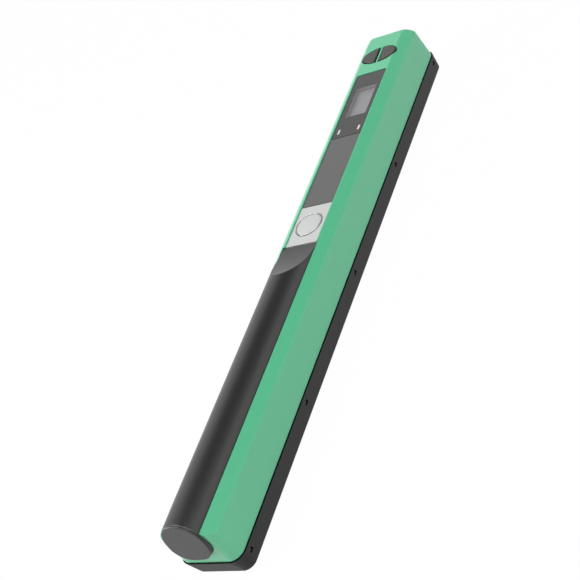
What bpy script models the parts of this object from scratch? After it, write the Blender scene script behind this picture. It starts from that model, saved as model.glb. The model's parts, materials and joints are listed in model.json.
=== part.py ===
"""Handheld document scanner: a slim wand that is drawn by hand across a page.

X runs along the wand, with the grip at -X and the display at +X. Y runs across it, and Z is up.
The origin is under the middle of the whole wand, on the paper that its wheels stand on.
All lengths are in metres.
"""
import math

import bmesh
import bpy
from mathutils import Matrix, Vector

# Clearances
gap = 0.0003
overrun = 0.002
stack_gap = 0.00316

# Base tray
case_side = 0.0054
base_height = 0.00805
base_wall = 0.0015
base_floor = 0.0015
base_corner = 0.0052
base_draft = 0.00095
base_rake = 0.0019
base_edge = 0.0004
end_room = 0.00455
paper_clearance = 0.0006

# Top shell
seam_gap = 0.00035
shell_ledge = 0.00055
band_drop = 0.00307
shoulder_inset = 0.0007
flat_inset = 0.00565
shell_wall = 0.0018
shell_roof = 0.002
shell_corner = 0.0047
near_corner = 0.0035
shell_lip = 0.0018
near_lean = 0.0001
far_lean = 0.00246
shoulder_round = 0.0013
flat_round = 0.0012
end_round = 0.0018

# Grip and its battery cover
cover_wall = 0.00134
grip_axis_drop = 0.00366
grip_overhang = 0.0016
grip_corner = 0.00695
grip_lean = 0.105
cover_skirt = 0.00064
cover_disc = 0.0017
disc_edge = 0.0005
ramp_run = 0.01853
ramp_lap = 0.00127
ramp_step = 0.0005
ramp_rise_angle = math.radians(27.0)
ramp_skin = 0.0008

# Cells, their tray and contacts
cell_radius = 0.00705
cell_body = 0.0495
cell_nub_radius = 0.00275
cell_nub = 0.001
tray_wall = 0.0011
tray_end = 0.0008
tray_flange = 0.0009
far_end_height = 0.0045
contact_sheet = 0.0003
contact_half = 0.0045
spring_length = 0.0036
spring_radius = 0.0032
spring_wire = 0.00022
spring_turns = 4

# Control panel set in the top
panel_margin = 0.00064
panel_thickness = 0.001
plate_length = 0.0207
lens_length = 0.0398
lens_corner = 0.0012
window_ahead = 0.0104
window_margin = 0.00131
window_back = 0.0079
mark_length = 0.0024
mark_width = 0.0009
mark_margin = 0.002585
mark_ahead = 0.0041

# Scan button in its trim ring
ring_margin = 0.00126
ring_width = 0.00065
ring_proud = 0.00045
button_crown = 0.0003
button_thickness = 0.0009
button_travel = 0.0005
stem_radius = 0.0018

# Pair of keys that share one oval
keys_inset = 0.01777
oval_margin = 0.0001
oval_half_width = 0.0054
oval_bar = 0.0018
oval_ahead = 0.01115
key_proud = 0.0002
key_travel = 0.0004
key_flange = 0.0005
key_flange_thickness = 0.0005

# Circuit board and what it carries
board_drop = 0.0032
board_thickness = 0.001
board_inset = 0.00232
board_end = 0.01057
board_side_gap = 0.0013
switch_half = 0.0022
switch_height = 0.0009
plunger_radius = 0.0009
boss_radius = 0.0017
boss_margin = 0.0019
boss_near_inset = 0.01
boss_far_inset = 0.022
screw_radius = 0.0005
screw_head_radius = 0.0013
screw_head = 0.0009
screw_length = 0.0032
lcd_ledge = 0.00205
lcd_lap = 0.00135

# Sockets, slot and pinholes in the side away from the display's user
port_step = 0.0095
port_width = 0.0077
port_height = 0.0039
port_depth = 0.0092
port_wall = 0.00035
port_setback = 0.0006
slot_step = 0.013
slot_width = 0.014
slot_height = 0.0019
slot_depth = 0.0145
slot_mouth_width = 0.0114
slot_mouth_height = 0.0009
pin_step = 0.021
pin_pitch = 0.007
pin_radius = 0.0005
pin_travel = 0.00025
pin_collar_radius = 0.0009
pin_collar = 0.0005
pin_sink = 0.0014
side_switch_half = 0.0017
side_switch_depth = 0.003
side_switch_height = 0.002

# Contact image sensor
sensor_length = 0.2146
sensor_width = 0.013
sensor_height = 0.0066
glass_width = 0.0102
glass_thickness = 0.0015
glass_end = 0.0012
rod_width = 0.0026
rod_height = 0.0048
guide_radius = 0.0014
guide_offset = 0.0036
sensor_board_thickness = 0.0008
sensor_board_width = 0.0112
ribbon_width = 0.009
ribbon_thickness = 0.0002
ribbon_inset = 0.0205
ribbon_reach = 0.004

# Wheels that roll on the paper
wheel_radius = 0.0034
wheel_length = 0.0074
wheel_overhang = 0.0008
shaft_radius = 0.0009
axle_radius = 0.0008
carrier_plate = 0.0014
carrier_height = 0.0052
carrier_side_gap = 0.0007
carrier_spine = 0.0062
bay_gap = 0.0006

# Gear pair and slotted disc that count the travel
tooth_module = 0.00035
drive_teeth = 11
encoder_teeth = 26
tooth_shares = (-0.31, -0.11, 0.11, 0.31)
gear_thickness = 0.0012
disc_gap = 0.00045
disc_slots = 24
disc_thickness = 0.0003
mesh_angle = math.radians(55.0)
mesh_clearance = 0.00008
gate_leg = 0.0009
gate_reach = 0.0022
eye_width = 0.0032

# Snap latches along both long sides
latch_width = 0.0021
latch_height = 0.0017
latch_drop = 0.0025
latch_tongue_width = 0.0012
latch_bump = 0.00085
latch_shares = (-0.9469, -0.4666, 0.0, 0.4588, 0.9508)

# Widths worked out from the cells outwards
inner_radius = cell_radius + gap
tray_outer = inner_radius + tray_wall
grip_radius = inner_radius + cover_wall
half_width = tray_outer + case_side
shell_half = half_width - shell_ledge
shoulder_half = shell_half - shoulder_inset
flat_half = half_width - flat_inset
panel_half = flat_half - panel_margin
ring_radius = panel_half - ring_margin
oval_half_length = flat_half - oval_margin
window_half = panel_half - window_margin
mark_y = panel_half - mark_margin
board_half = shoulder_half - shell_wall - board_side_gap
boss_y = board_half - boss_margin
carrier_half = shell_half - shell_wall - carrier_side_gap
wheel_y = carrier_half + wheel_overhang - wheel_radius

# Levels worked out from the paper upwards
seam_z = paper_clearance + base_height
floor_z = paper_clearance + base_floor
shell_z = seam_z + seam_gap
sensor_z = floor_z + gap
sensor_top = sensor_z + sensor_height
sensor_board_low = sensor_top + gap
sensor_board_top = sensor_board_low + sensor_board_thickness
axis_z = sensor_board_top + stack_gap + tray_outer
top_z = axis_z + grip_axis_drop
shell_rise = top_z - shell_z
shoulder_z = top_z - band_drop
roof_z = top_z - shell_roof
bed_z = top_z - panel_thickness - gap
board_top = roof_z - board_drop
board_low = board_top - board_thickness

# Stations along the wand: the sensor sets the base's length, and the base is centred
# but for the grip's overhang.
carrier_length = wheel_length + 2 * carrier_plate + 2 * gap
encoder_room = gear_thickness + gate_leg + disc_thickness + 5 * gap
base_length = sensor_length + 2 * (encoder_room + carrier_length + end_room + base_wall)
overall_length = base_length + grip_overhang
base_far = overall_length / 2
base_near = base_far - base_length
base_mid = (base_far + base_near) / 2
shell_near = base_near + shell_ledge
shell_far = base_far - shell_ledge
near_face = shell_near + shell_wall
grip_near = base_near - grip_overhang + grip_radius * grip_lean
sensor_near = base_mid - sensor_length / 2
sensor_far = base_mid + sensor_length / 2
gear_x = sensor_far + 2 * gap
disc_x = gear_x + gear_thickness + gate_leg + 2 * gap
far_carrier = disc_x + disc_thickness + gap
near_carrier = 2 * base_mid - far_carrier - carrier_length
drive_pitch = tooth_module * drive_teeth / 2
encoder_pitch = tooth_module * encoder_teeth / 2
mesh_distance = drive_pitch + encoder_pitch + mesh_clearance
disc_radius = mesh_distance - shaft_radius - disc_gap
encoder_y = -wheel_y + mesh_distance * math.cos(mesh_angle)
encoder_z = wheel_radius + mesh_distance * math.sin(mesh_angle)

# The cells set where the panel starts, the far end sets where it stops, and the grey
# strip fills what is left between the silver plate and the display lens.
stub_inner = shell_near + near_lean + gap
tray_near = stub_inner + gap
tray_far = tray_near + 2 * tray_end + 2 * contact_sheet + spring_length
tray_far += 2 * cell_body + 2 * cell_nub + 5 * gap
panel_near = tray_far + ramp_run
cover_far = panel_near - gap
ramp_length = ramp_run + ramp_lap - gap
keys_x = base_far - keys_inset
panel_far = keys_x - oval_ahead
strip_near = panel_near + plate_length
lens_near = panel_far - lens_length
button_x = panel_near + plate_length / 2
window_length = lens_length - window_ahead - window_back
window_x = lens_near + window_ahead + window_length / 2
marks_x = lens_near + mark_ahead
board_near = panel_near + board_inset
board_far = keys_x + board_end
boss_stations = (board_near + boss_near_inset, board_far - boss_far_inset)
port_at = boss_stations[1] - port_step
slot_at = port_at - slot_step
pin_at = slot_at - pin_step
ribbon_at = board_near + ribbon_inset

for old in list(bpy.data.objects):
    bpy.data.objects.remove(old, do_unlink=True)

parts = bpy.data.collections.new("document_scanner")
cutters = bpy.data.collections.new("cutters")
bpy.context.scene.collection.children.link(parts)
bpy.context.scene.collection.children.link(cutters)


def finish(name, colour, roughness, metallic=0.0):
    """A plain surface finish."""
    made = bpy.data.materials.new(name)
    made.use_nodes = True
    shader = made.node_tree.nodes["Principled BSDF"]
    shader.inputs["Base Color"].default_value = (*colour, 1.0)
    shader.inputs["Roughness"].default_value = roughness
    shader.inputs["Metallic"].default_value = metallic
    made.diffuse_color = (*colour, 1.0)
    return made


green_plastic = finish("green_plastic", (0.125, 0.55, 0.31), 0.42)
black_plastic = finish("black_plastic", (0.045, 0.045, 0.047), 0.5)
grip_plastic = finish("grip_plastic", (0.04, 0.04, 0.042), 0.38)
panel_grey = finish("panel_grey", (0.18, 0.185, 0.18), 0.3)
dark_window = finish("dark_window", (0.09, 0.088, 0.09), 0.12)
silver = finish("silver_lacquer", (0.68, 0.69, 0.68), 0.35, 0.3)
chrome = finish("chrome", (0.8, 0.8, 0.8), 0.08, 1.0)
key_plastic = finish("key_plastic", (0.09, 0.085, 0.09), 0.4)
white_diffuser = finish("white_diffuser", (0.85, 0.85, 0.85), 0.4)
lcd_glass = finish("lcd_glass", (0.33, 0.33, 0.36), 0.1)
board_green = finish("board_green", (0.02, 0.12, 0.05), 0.5)
steel = finish("steel", (0.55, 0.55, 0.56), 0.25, 1.0)
rubber = finish("rubber", (0.025, 0.025, 0.027), 0.8)
clear_glass = finish("clear_glass", (0.5, 0.55, 0.55), 0.05)
white_plastic = finish("white_plastic", (0.7, 0.7, 0.68), 0.45)
cell_jacket = finish("cell_jacket", (0.08, 0.09, 0.12), 0.3, 0.3)
ribbon_film = finish("ribbon_film", (0.75, 0.74, 0.7), 0.4)


def put(name, mesh_data, material=None, origin=(0.0, 0.0, 0.0), angle=40.0):
    """Turn a bmesh into an object whose own origin is at the given place."""
    bmesh.ops.recalc_face_normals(mesh_data, faces=mesh_data.faces)
    bmesh.ops.translate(mesh_data, verts=mesh_data.verts, vec=-Vector(origin))
    data = bpy.data.meshes.new(name)
    mesh_data.to_mesh(data)
    mesh_data.free()
    made = bpy.data.objects.new(name, data)
    made.location = origin
    if material is None:
        cutters.objects.link(made)
        made.hide_render = True
        made.display_type = "WIRE"
        return made
    data.materials.append(material)
    data.shade_smooth()
    data.set_sharp_from_angle(angle=math.radians(angle))
    parts.objects.link(made)
    return made


def combine(target, tool, operation):
    """Cut the target with a tool, or join the tool to it."""
    step = target.modifiers.new(operation.lower(), "BOOLEAN")
    step.operation = operation
    step.solver = "EXACT"
    step.object = tool


def cut(target, *tools):
    for tool in tools:
        combine(target, tool, "DIFFERENCE")


def join(target, *tools):
    for tool in tools:
        combine(target, tool, "UNION")


def add_box(mesh_data, low, high):
    """Add a box between two corners."""
    low = Vector(low)
    high = Vector(high)
    size = high - low
    place = Matrix.Translation((low + high) / 2) @ Matrix.Diagonal((*size, 1.0))
    bmesh.ops.create_cube(mesh_data, size=1.0, matrix=place)


def box(low, high):
    made = bmesh.new()
    add_box(made, low, high)
    return made


turn_to = {
    "X": Matrix.Rotation(math.pi / 2, 4, "Y"),
    "Y": Matrix.Rotation(-math.pi / 2, 4, "X"),
    "Z": Matrix.Identity(4),
}


def add_rod(mesh_data, axis, centre, radius, length, sides=32):
    """Add a cylinder whose middle is at the centre."""
    bmesh.ops.create_cone(
        mesh_data, cap_ends=True, cap_tris=False, segments=sides, radius1=radius,
        radius2=radius, depth=length, matrix=Matrix.Translation(centre) @ turn_to[axis])


def rod(axis, centre, radius, length, sides=32):
    made = bmesh.new()
    add_rod(made, axis, centre, radius, length, sides)
    return made


def rod_x(start, stop, y, z, radius, sides=32):
    """A cylinder along X between two stations."""
    return rod("X", ((start + stop) / 2, y, z), radius, stop - start, sides)


def prism(outline, axis, low, high):
    """Sweep a flat outline straight along an axis."""
    made = bmesh.new()
    placed = {
        "X": lambda u, v: (low, u, v),
        "Y": lambda u, v: (u, low, v),
        "Z": lambda u, v: (u, v, low),
    }[axis]
    ring = [made.verts.new(placed(u, v)) for u, v in outline]
    face = made.faces.new(ring)
    swept = bmesh.ops.extrude_face_region(made, geom=[face])
    moved = [item for item in swept["geom"] if isinstance(item, bmesh.types.BMVert)]
    way = {"X": (1.0, 0.0, 0.0), "Y": (0.0, 1.0, 0.0), "Z": (0.0, 0.0, 1.0)}[axis]
    bmesh.ops.translate(made, verts=moved, vec=Vector(way) * (high - low))
    return made


def loft(rings):
    """Skin a closed body over rings that all have the same number of points."""
    made = bmesh.new()
    loops = [[made.verts.new(point) for point in ring] for ring in rings]
    count = len(loops[0])
    for lower, upper in zip(loops, loops[1:]):
        for index in range(count):
            after = (index + 1) % count
            made.faces.new((lower[index], lower[after], upper[after], upper[index]))
    made.faces.new(loops[0][::-1])
    made.faces.new(loops[-1])
    return made


def arc(centre_u, centre_v, radius, start, stop, steps):
    """Points along an arc, with both its ends."""
    return [
        (centre_u + radius * math.cos(start + (stop - start) * step / steps),
         centre_v + radius * math.sin(start + (stop - start) * step / steps))
        for step in range(steps + 1)]


def plan_ring(near, far, half, near_radius, far_radius, z, steps=6):
    """Level ring of a tray or a shell, with its own corner radius at each end."""
    quarter = math.pi / 2
    points = []
    for turn, (end, way, side, radius) in enumerate((
            (far, -1.0, 1.0, far_radius), (near, 1.0, 1.0, near_radius),
            (near, 1.0, -1.0, near_radius), (far, -1.0, -1.0, far_radius))):
        points += arc(end + way * radius, side * (half - radius), radius,
                      turn * quarter, (turn + 1) * quarter, steps)
    return [(u, v, z) for u, v in points]


def fillet(before, corner, after, radius, steps):
    """Points of an arc that rounds one corner of an outline."""
    corner = Vector(corner)
    into = (corner - Vector(before)).normalized()
    out = (Vector(after) - corner).normalized()
    bend = into.angle(out)
    reach = radius * math.tan(bend / 2)
    side = 1.0 if into.x * out.y - into.y * out.x > 0.0 else -1.0
    start = corner - into * reach
    centre = start + Vector((-into.y, into.x)) * side * radius
    arm = start - centre
    points = []
    for step in range(steps + 1):
        turn = side * bend * step / steps
        points.append((
            centre.x + arm.x * math.cos(turn) - arm.y * math.sin(turn),
            centre.y + arm.x * math.sin(turn) + arm.y * math.cos(turn)))
    return points


def follow(profile, z):
    """Half width of a profile, given as (half width, height) points, at one height."""
    for (low_half, low_z), (high_half, high_z) in zip(profile, profile[1:]):
        if low_z <= z <= high_z:
            share = (z - low_z) / (high_z - low_z)
            return low_half + (high_half - low_half) * share
    return profile[-1][0] if z > profile[-1][1] else profile[0][0]


# Top shell: tall moulding with leaning ends, a chamfered band on each side and a flat top.
wall_foot = (shell_half, shell_z)
shoulder = (shoulder_half, shoulder_z)
flat_edge = (flat_half, top_z)
outer_profile = [wall_foot]
outer_profile += fillet(wall_foot, shoulder, flat_edge, shoulder_round, 4)
outer_profile += fillet(shoulder, flat_edge, (0.0, top_z), flat_round, 3)
end_levels = [top_z - end_round * (1.0 - math.sin(step * math.pi / 8)) for step in range(5)]


def shell_ring(z, half, inset):
    """Ring of the shell at one height; its ends lean inwards and its corners tighten as it rises."""
    rise_share = (z - shell_z) / shell_rise
    near_radius = shell_corner - (shell_corner - near_corner) * rise_share - inset
    far_radius = shell_corner - (shell_corner - shoulder_round) * rise_share - inset
    above = max(0.0, z - (top_z - end_round))
    rounding = end_round - math.sqrt(max(0.0, end_round ** 2 - above ** 2))
    near = shell_near + near_lean * rise_share + inset + rounding
    far = shell_far - far_lean * rise_share - inset - rounding
    return plan_ring(near, far, half, near_radius, max(far_radius, gap), z)


lip_half = half_width - base_wall - gap
pocket_near = base_near + base_rake + base_wall
lip_corner = base_corner - base_wall - gap
shell_rings = [
    plan_ring(pocket_near + gap, base_far - base_wall - gap, lip_half, lip_corner, lip_corner, z)
    for z in (shell_z - shell_lip, shell_z)]
levels = sorted({round(z, 6) for _, z in outer_profile} | {round(z, 6) for z in end_levels})
for z in levels:
    shell_rings.append(shell_ring(z, follow(outer_profile, z), 0.0))
top_shell = put("top_shell", loft(shell_rings), green_plastic, angle=24.0)

band_slope = (top_z - shoulder_z) / (shoulder_half - flat_half)
inner_shoulder_z = shoulder_z - shell_roof + shell_wall * band_slope
hollow_rings = [
    shell_ring(shell_z - shell_lip - overrun, shell_half - shell_wall, shell_wall),
    shell_ring(shell_z, shell_half - shell_wall, shell_wall),
    shell_ring(inner_shoulder_z, shoulder_half - shell_wall, shell_wall),
    shell_ring(roof_z, flat_half, shell_wall),
]
cut(top_shell, put("shell_hollow", loft(hollow_rings)))


def grip_outline(spare):
    """Outline of the grip's end: round above, and a little squarer below."""
    corner = grip_corner + spare
    inset = grip_radius - grip_corner
    points = arc(0.0, axis_z, grip_radius + spare, 0.0, math.pi, 32)
    points += arc(-inset, axis_z - inset, corner, math.pi, 3 * math.pi / 2, 12)
    points += arc(inset, axis_z - inset, corner, 3 * math.pi / 2, 2 * math.pi, 12)
    return points


# Slot along the top for the battery cover, and the notch for its foot in the near end wall.
cover_half = grip_radius - cover_skirt
slot_half = cover_half + gap
cover_slot = put("cover_slot", box(
    (near_face - overrun, -slot_half, axis_z), (panel_near, slot_half, top_z + overrun)))
grip_notch = put("grip_notch", prism(
    grip_outline(gap), "X", shell_near - overrun, near_face + overrun))
cut(top_shell, cover_slot, grip_notch)

# Bed for the control panel, with the openings in its floor.
bed_half = panel_half + gap / 2
bed_outline = [(panel_near - overrun, -bed_half)]
bed_far = panel_far + gap
bed_outline += arc(bed_far - lens_corner, lens_corner - bed_half, lens_corner, -math.pi / 2, 0.0, 4)
bed_outline += arc(bed_far - lens_corner, bed_half - lens_corner, lens_corner, 0.0, math.pi / 2, 4)
bed_outline += [(panel_near - overrun, bed_half)]
bed = put("panel_bed", prism(bed_outline, "Z", bed_z, top_z + overrun))
floor_openings = bmesh.new()
add_box(floor_openings,
        (window_x - window_length / 2, -window_half, roof_z - overrun),
        (window_x + window_length / 2, window_half, top_z))
for middle in (-mark_y, mark_y):
    add_box(floor_openings,
            (marks_x - mark_length / 2 - gap, middle - mark_width / 2 - gap, roof_z - overrun),
            (marks_x + mark_length / 2 + gap, middle + mark_width / 2 + gap, top_z))
add_rod(floor_openings, "Z", (button_x, 0.0, roof_z), stem_radius + gap, shell_roof + overrun, 24)
cut(top_shell, bed, put("floor_openings", floor_openings))


def half_oval(side, spare):
    """Outline of one key: half of an oval, whose straight side faces the green bar."""
    straight = oval_bar / 2 - spare
    reach = oval_half_length + spare
    start = math.asin(straight / reach)
    points = []
    for step in range(17):
        angle = start + (math.pi - 2 * start) * step / 16
        points.append((
            keys_x + (oval_half_width + spare) * math.cos(angle), side * reach * math.sin(angle)))
    return points


key_holes = [
    put(name + "_hole", prism(half_oval(side, gap), "Z", roof_z - overrun, top_z + overrun))
    for name, side in (("left_key", 1.0), ("right_key", -1.0))]
cut(top_shell, *key_holes)

# Bosses for the circuit board's screws.
boss_places = [(station, side * boss_y) for station in boss_stations for side in (-1.0, 1.0)]
bosses = bmesh.new()
pilots = bmesh.new()
boss_low = board_top + gap
boss_top = roof_z + gap
for u, v in boss_places:
    add_rod(bosses, "Z", (u, v, (boss_low + boss_top) / 2), boss_radius, boss_top - boss_low, 16)
    add_rod(pilots, "Z", (u, v, boss_low), screw_radius + gap, 2 * (boss_top - boss_low) - shell_roof, 12)
join(top_shell, put("bosses", bosses))
cut(top_shell, put("boss_pilots", pilots))

# Snap tongues that hang from the lip into the tray's windows.
latch_z = seam_z - latch_drop
latch_places = [base_mid + share * base_length / 2 for share in latch_shares]
tongues = bmesh.new()
noses = bmesh.new()
for u in latch_places:
    for side in (-1.0, 1.0):
        root = side * (shell_half - shell_wall + gap)
        face = side * lip_half
        nose = side * (lip_half + base_wall - latch_bump / 2)
        low_root, high_root = sorted((root, face))
        add_box(tongues,
                (u - latch_tongue_width / 2, low_root, latch_z - latch_bump),
                (u + latch_tongue_width / 2, high_root, shell_z - shell_lip / 2))
        low_nose, high_nose = sorted((face - side * gap / 2, nose))
        add_box(noses,
                (u - latch_tongue_width / 3, low_nose, latch_z - latch_bump / 2),
                (u + latch_tongue_width / 3, high_nose, latch_z + latch_bump / 3))
join(top_shell, put("latch_tongues", tongues), put("latch_noses", noses))

# Socket, card slot and pinholes through the +Y wall.
port_top = board_low - gap
side_face = follow(outer_profile, port_top - port_height / 2)
side_openings = bmesh.new()
add_box(side_openings,
        (port_at - port_width / 2 - gap, 0.0, port_top - port_height - gap),
        (port_at + port_width / 2 + gap, half_width + overrun, port_top + gap))
add_box(side_openings,
        (slot_at - slot_width / 2 - gap, 0.0, port_top - slot_height - gap),
        (slot_at + slot_width / 2 + gap, half_width + overrun, port_top + gap))
side_cut = put("side_openings", side_openings)
pin_z = port_top - side_switch_height / 2
pin_holes = bmesh.new()
for step in (0, 1):
    add_rod(pin_holes, "Y", (pin_at + pin_pitch * step, half_width, pin_z),
            pin_radius + gap, 2 * shell_wall + 2 * shell_ledge + overrun, 12)
cut(top_shell, side_cut, put("pin_holes", pin_holes))

# Base tray: shallow tub with round corners, a long window and bays for the wheels.
base_rings = []
for z, rounding in (
        (paper_clearance, base_edge), (paper_clearance + base_edge / 4, base_edge / 2),
        (paper_clearance + base_edge, 0.0), (seam_z, 0.0)):
    fall_share = (seam_z - z) / base_height
    inset = base_draft * fall_share + rounding
    corner = base_corner - inset
    base_rings.append(plan_ring(
        base_near + base_rake * fall_share + rounding, base_far - rounding, half_width - inset,
        corner, corner, z))
base_shell = put("base_shell", loft(base_rings), black_plastic, angle=24.0)
waist_z = latch_z - latch_bump - gap
pocket_corner = base_corner - base_wall
pocket = put("base_pocket", loft([
    plan_ring(pocket_near, base_far - base_wall, half_width - base_wall - inset,
              pocket_corner, pocket_corner, z)
    for z, inset in ((floor_z, base_draft), (waist_z, 0.0), (seam_z + overrun, 0.0))]))
glass_length = sensor_length - 2 * glass_end
window = put("sensor_window", box(
    (base_mid - glass_length / 2 - gap, -glass_width / 2 - gap, paper_clearance - overrun),
    (base_mid + glass_length / 2 + gap, glass_width / 2 + gap, floor_z + overrun)))
bays = bmesh.new()
for start in (near_carrier, far_carrier):
    for side in (-1.0, 1.0):
        drop = wheel_radius - floor_z
        chord = math.sqrt(wheel_radius ** 2 - drop ** 2) + bay_gap
        add_box(bays,
                (start + carrier_plate, side * wheel_y - chord, paper_clearance - overrun),
                (start + carrier_length - carrier_plate, side * wheel_y + chord, floor_z + overrun))
gear_bay_half = drive_pitch + tooth_module + gap
add_box(bays,
        (gear_x - gap, -wheel_y - gear_bay_half, paper_clearance - overrun),
        (gear_x + gear_thickness + gap, -wheel_y + gear_bay_half, floor_z + overrun))
cut(base_shell, pocket, window, put("wheel_bays", bays))
arch = latch_width / 2
arch_windows = bmesh.new()
for u in latch_places:
    for side in (-1.0, 1.0):
        outline = [(u - arch, latch_z - latch_height / 2)]
        outline += [(u + arch, latch_z - latch_height / 2)]
        outline += arc(u, latch_z + latch_height / 2 - arch, arch, 0.0, math.pi, 8)
        low, high = sorted((side * (half_width - base_wall - overrun / 4), side * (half_width + overrun)))
        opening = prism(outline, "Y", low, high)
        data = bpy.data.meshes.new("arch")
        opening.to_mesh(data)
        opening.free()
        arch_windows.from_mesh(data)
        bpy.data.meshes.remove(data)
cut(base_shell, put("latch_windows", arch_windows))

# Battery cover: round grip with a scooped thumb ramp and a closed end.
cover_body = prism(grip_outline(0.0), "X", base_near - grip_overhang, cover_far)
for vert in cover_body.verts:
    if vert.co.x < stub_inner:
        vert.co.x = grip_near + grip_lean * (vert.co.z - axis_z)
rim = [edge for edge in cover_body.edges if all(vert.co.x < stub_inner for vert in edge.verts)]
bmesh.ops.bevel(cover_body, geom=rim, offset=disc_edge, segments=2, profile=0.5, affect="EDGES")
battery_cover = put("battery_cover", cover_body, grip_plastic)
trims = bmesh.new()
for side in (-1.0, 1.0):
    low, high = sorted((side * cover_half, side * (grip_radius + overrun)))
    add_box(trims, (stub_inner, low, axis_z - grip_radius), (cover_far + overrun, high, top_z + overrun))
cover_trims = put("cover_trims", trims)
cover_foot = put("cover_foot", box(
    (stub_inner, -grip_radius - overrun, axis_z - grip_radius - overrun),
    (cover_far + overrun, grip_radius + overrun, axis_z)))

ramp_top = axis_z + grip_radius
ramp_foot = top_z - ramp_step
ramp_drop = ramp_top - ramp_foot
ramp_chord_angle = math.atan2(ramp_drop, ramp_length)
ramp_half_turn = ramp_rise_angle - ramp_chord_angle
ramp_radius = math.hypot(ramp_drop, ramp_length) / (2 * math.sin(ramp_half_turn))
ramp_foot_angle = ramp_chord_angle - ramp_half_turn
ramp_centre = (
    cover_far + ramp_radius * math.sin(ramp_foot_angle),
    ramp_foot + ramp_radius * math.cos(ramp_foot_angle))


def ramp_outline(lower):
    """Outline of what lies above the scoop; lower shifts it down by a skin's thickness."""
    foot = -math.pi / 2 - ramp_foot_angle
    crest = -math.pi / 2 - ramp_rise_angle
    radius = ramp_radius + lower
    points = arc(*ramp_centre, radius, foot, crest, 14)
    last_u, last_v = points[-1]
    points.append((last_u - overrun, last_v + overrun))
    points.append((last_u - overrun, ramp_top + overrun))
    points.append((cover_far + overrun, ramp_top + overrun))
    points.append((cover_far + overrun, points[0][1]))
    return points


wide = grip_radius + overrun
scoop = put("ramp_scoop", prism(ramp_outline(0.0), "Y", -wide, wide))
under_scoop = put("ramp_under", prism(ramp_outline(ramp_skin), "Y", -wide, wide))
cover_hollow = put("cover_hollow", rod_x(
    grip_near + cover_disc, cover_far - ramp_skin, 0.0, axis_z, inner_radius, 48))
cut(cover_hollow, under_scoop)
cut(battery_cover, cover_trims, cover_foot, scoop, cover_hollow)

# Battery tray under the two cells, with a flange that the cover's skirts rest on.
tray_rim = axis_z - gap
flange_half = follow(outer_profile, tray_rim - tray_flange) - shell_wall - gap
section = [(flange_half, tray_rim), (flange_half, tray_rim - tray_flange)]
start = math.asin(-(gap + tray_flange) / tray_outer)
section += [(tray_outer * math.cos(turn), axis_z + tray_outer * math.sin(turn)) for turn in
            [start + (-math.pi - 2 * start) * step / 20 for step in range(21)]]
section += [(-flange_half, tray_rim - tray_flange), (-flange_half, tray_rim)]
battery_tray = put("battery_tray", prism(section, "X", tray_near, tray_far), black_plastic)
trough = put("tray_trough", rod_x(
    tray_near + tray_end, tray_far - tray_end, 0.0, axis_z, inner_radius, 48))
flange_near = near_face + near_lean + shell_corner - shell_wall
flange_trims = bmesh.new()
for side in (-1.0, 1.0):
    low, high = sorted((side * tray_outer, side * half_width))
    add_box(flange_trims, (tray_near - overrun, low, axis_z - grip_radius), (flange_near, high, top_z))
cut(battery_tray, trough, put("flange_trims", flange_trims))
tray_block = put("tray_far_block", box(
    (tray_far - tray_end, -contact_half, tray_rim - tray_flange),
    (tray_far, contact_half, axis_z + far_end_height)))
join(battery_tray, tray_block)

near_contact_x = tray_near + tray_end + gap / 2
put("negative_contact", box(
    (near_contact_x, -contact_half, axis_z - contact_half),
    (near_contact_x + contact_sheet, contact_half, axis_z - gap)), steel)
spring_start = near_contact_x + contact_sheet + gap / 2
coil_points = spring_turns * 10
coil_run = spring_length - 4 * spring_wire
coil = bpy.data.curves.new("spring_path", "CURVE")
coil.dimensions = "3D"
coil.bevel_depth = spring_wire
coil.bevel_resolution = 1
coil.use_fill_caps = True
turns = coil.splines.new("POLY")
turns.points.add(coil_points)
for index, point in enumerate(turns.points):
    share = index / coil_points
    turn = share * spring_turns * 2 * math.pi
    reach = spring_radius * (1.0 - share / 2)
    point.co = (spring_start + 2 * spring_wire + coil_run * share,
                reach * math.cos(turn), axis_z + reach * math.sin(turn), 1.0)
coil_path = bpy.data.objects.new("spring_path", coil)
cutters.objects.link(coil_path)
bpy.context.view_layer.update()
wire = bmesh.new()
wire_mesh = bpy.data.meshes.new_from_object(coil_path)
wire.from_mesh(wire_mesh)
bmesh.ops.remove_doubles(wire, verts=wire.verts, dist=spring_wire / 20)
bpy.data.meshes.remove(wire_mesh)
bpy.data.objects.remove(coil_path)
put("contact_spring", wire, steel)

cell_start = near_contact_x + contact_sheet + spring_length
for name in ("near_cell", "far_cell"):
    body = rod_x(cell_start, cell_start + cell_body, 0.0, axis_z, cell_radius, 40)
    cell = put(name, body, cell_jacket)
    nub_root = cell_start + cell_body - cell_nub
    nub = put(name + "_nub", rod_x(nub_root, nub_root + 2 * cell_nub, 0.0, axis_z, cell_nub_radius, 20))
    join(cell, nub)
    cell_start += cell_body + cell_nub + gap
put("positive_contact", box(
    (cell_start, -contact_half, axis_z - contact_half),
    (cell_start + contact_sheet, contact_half, axis_z + far_end_height)), steel)

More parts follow.
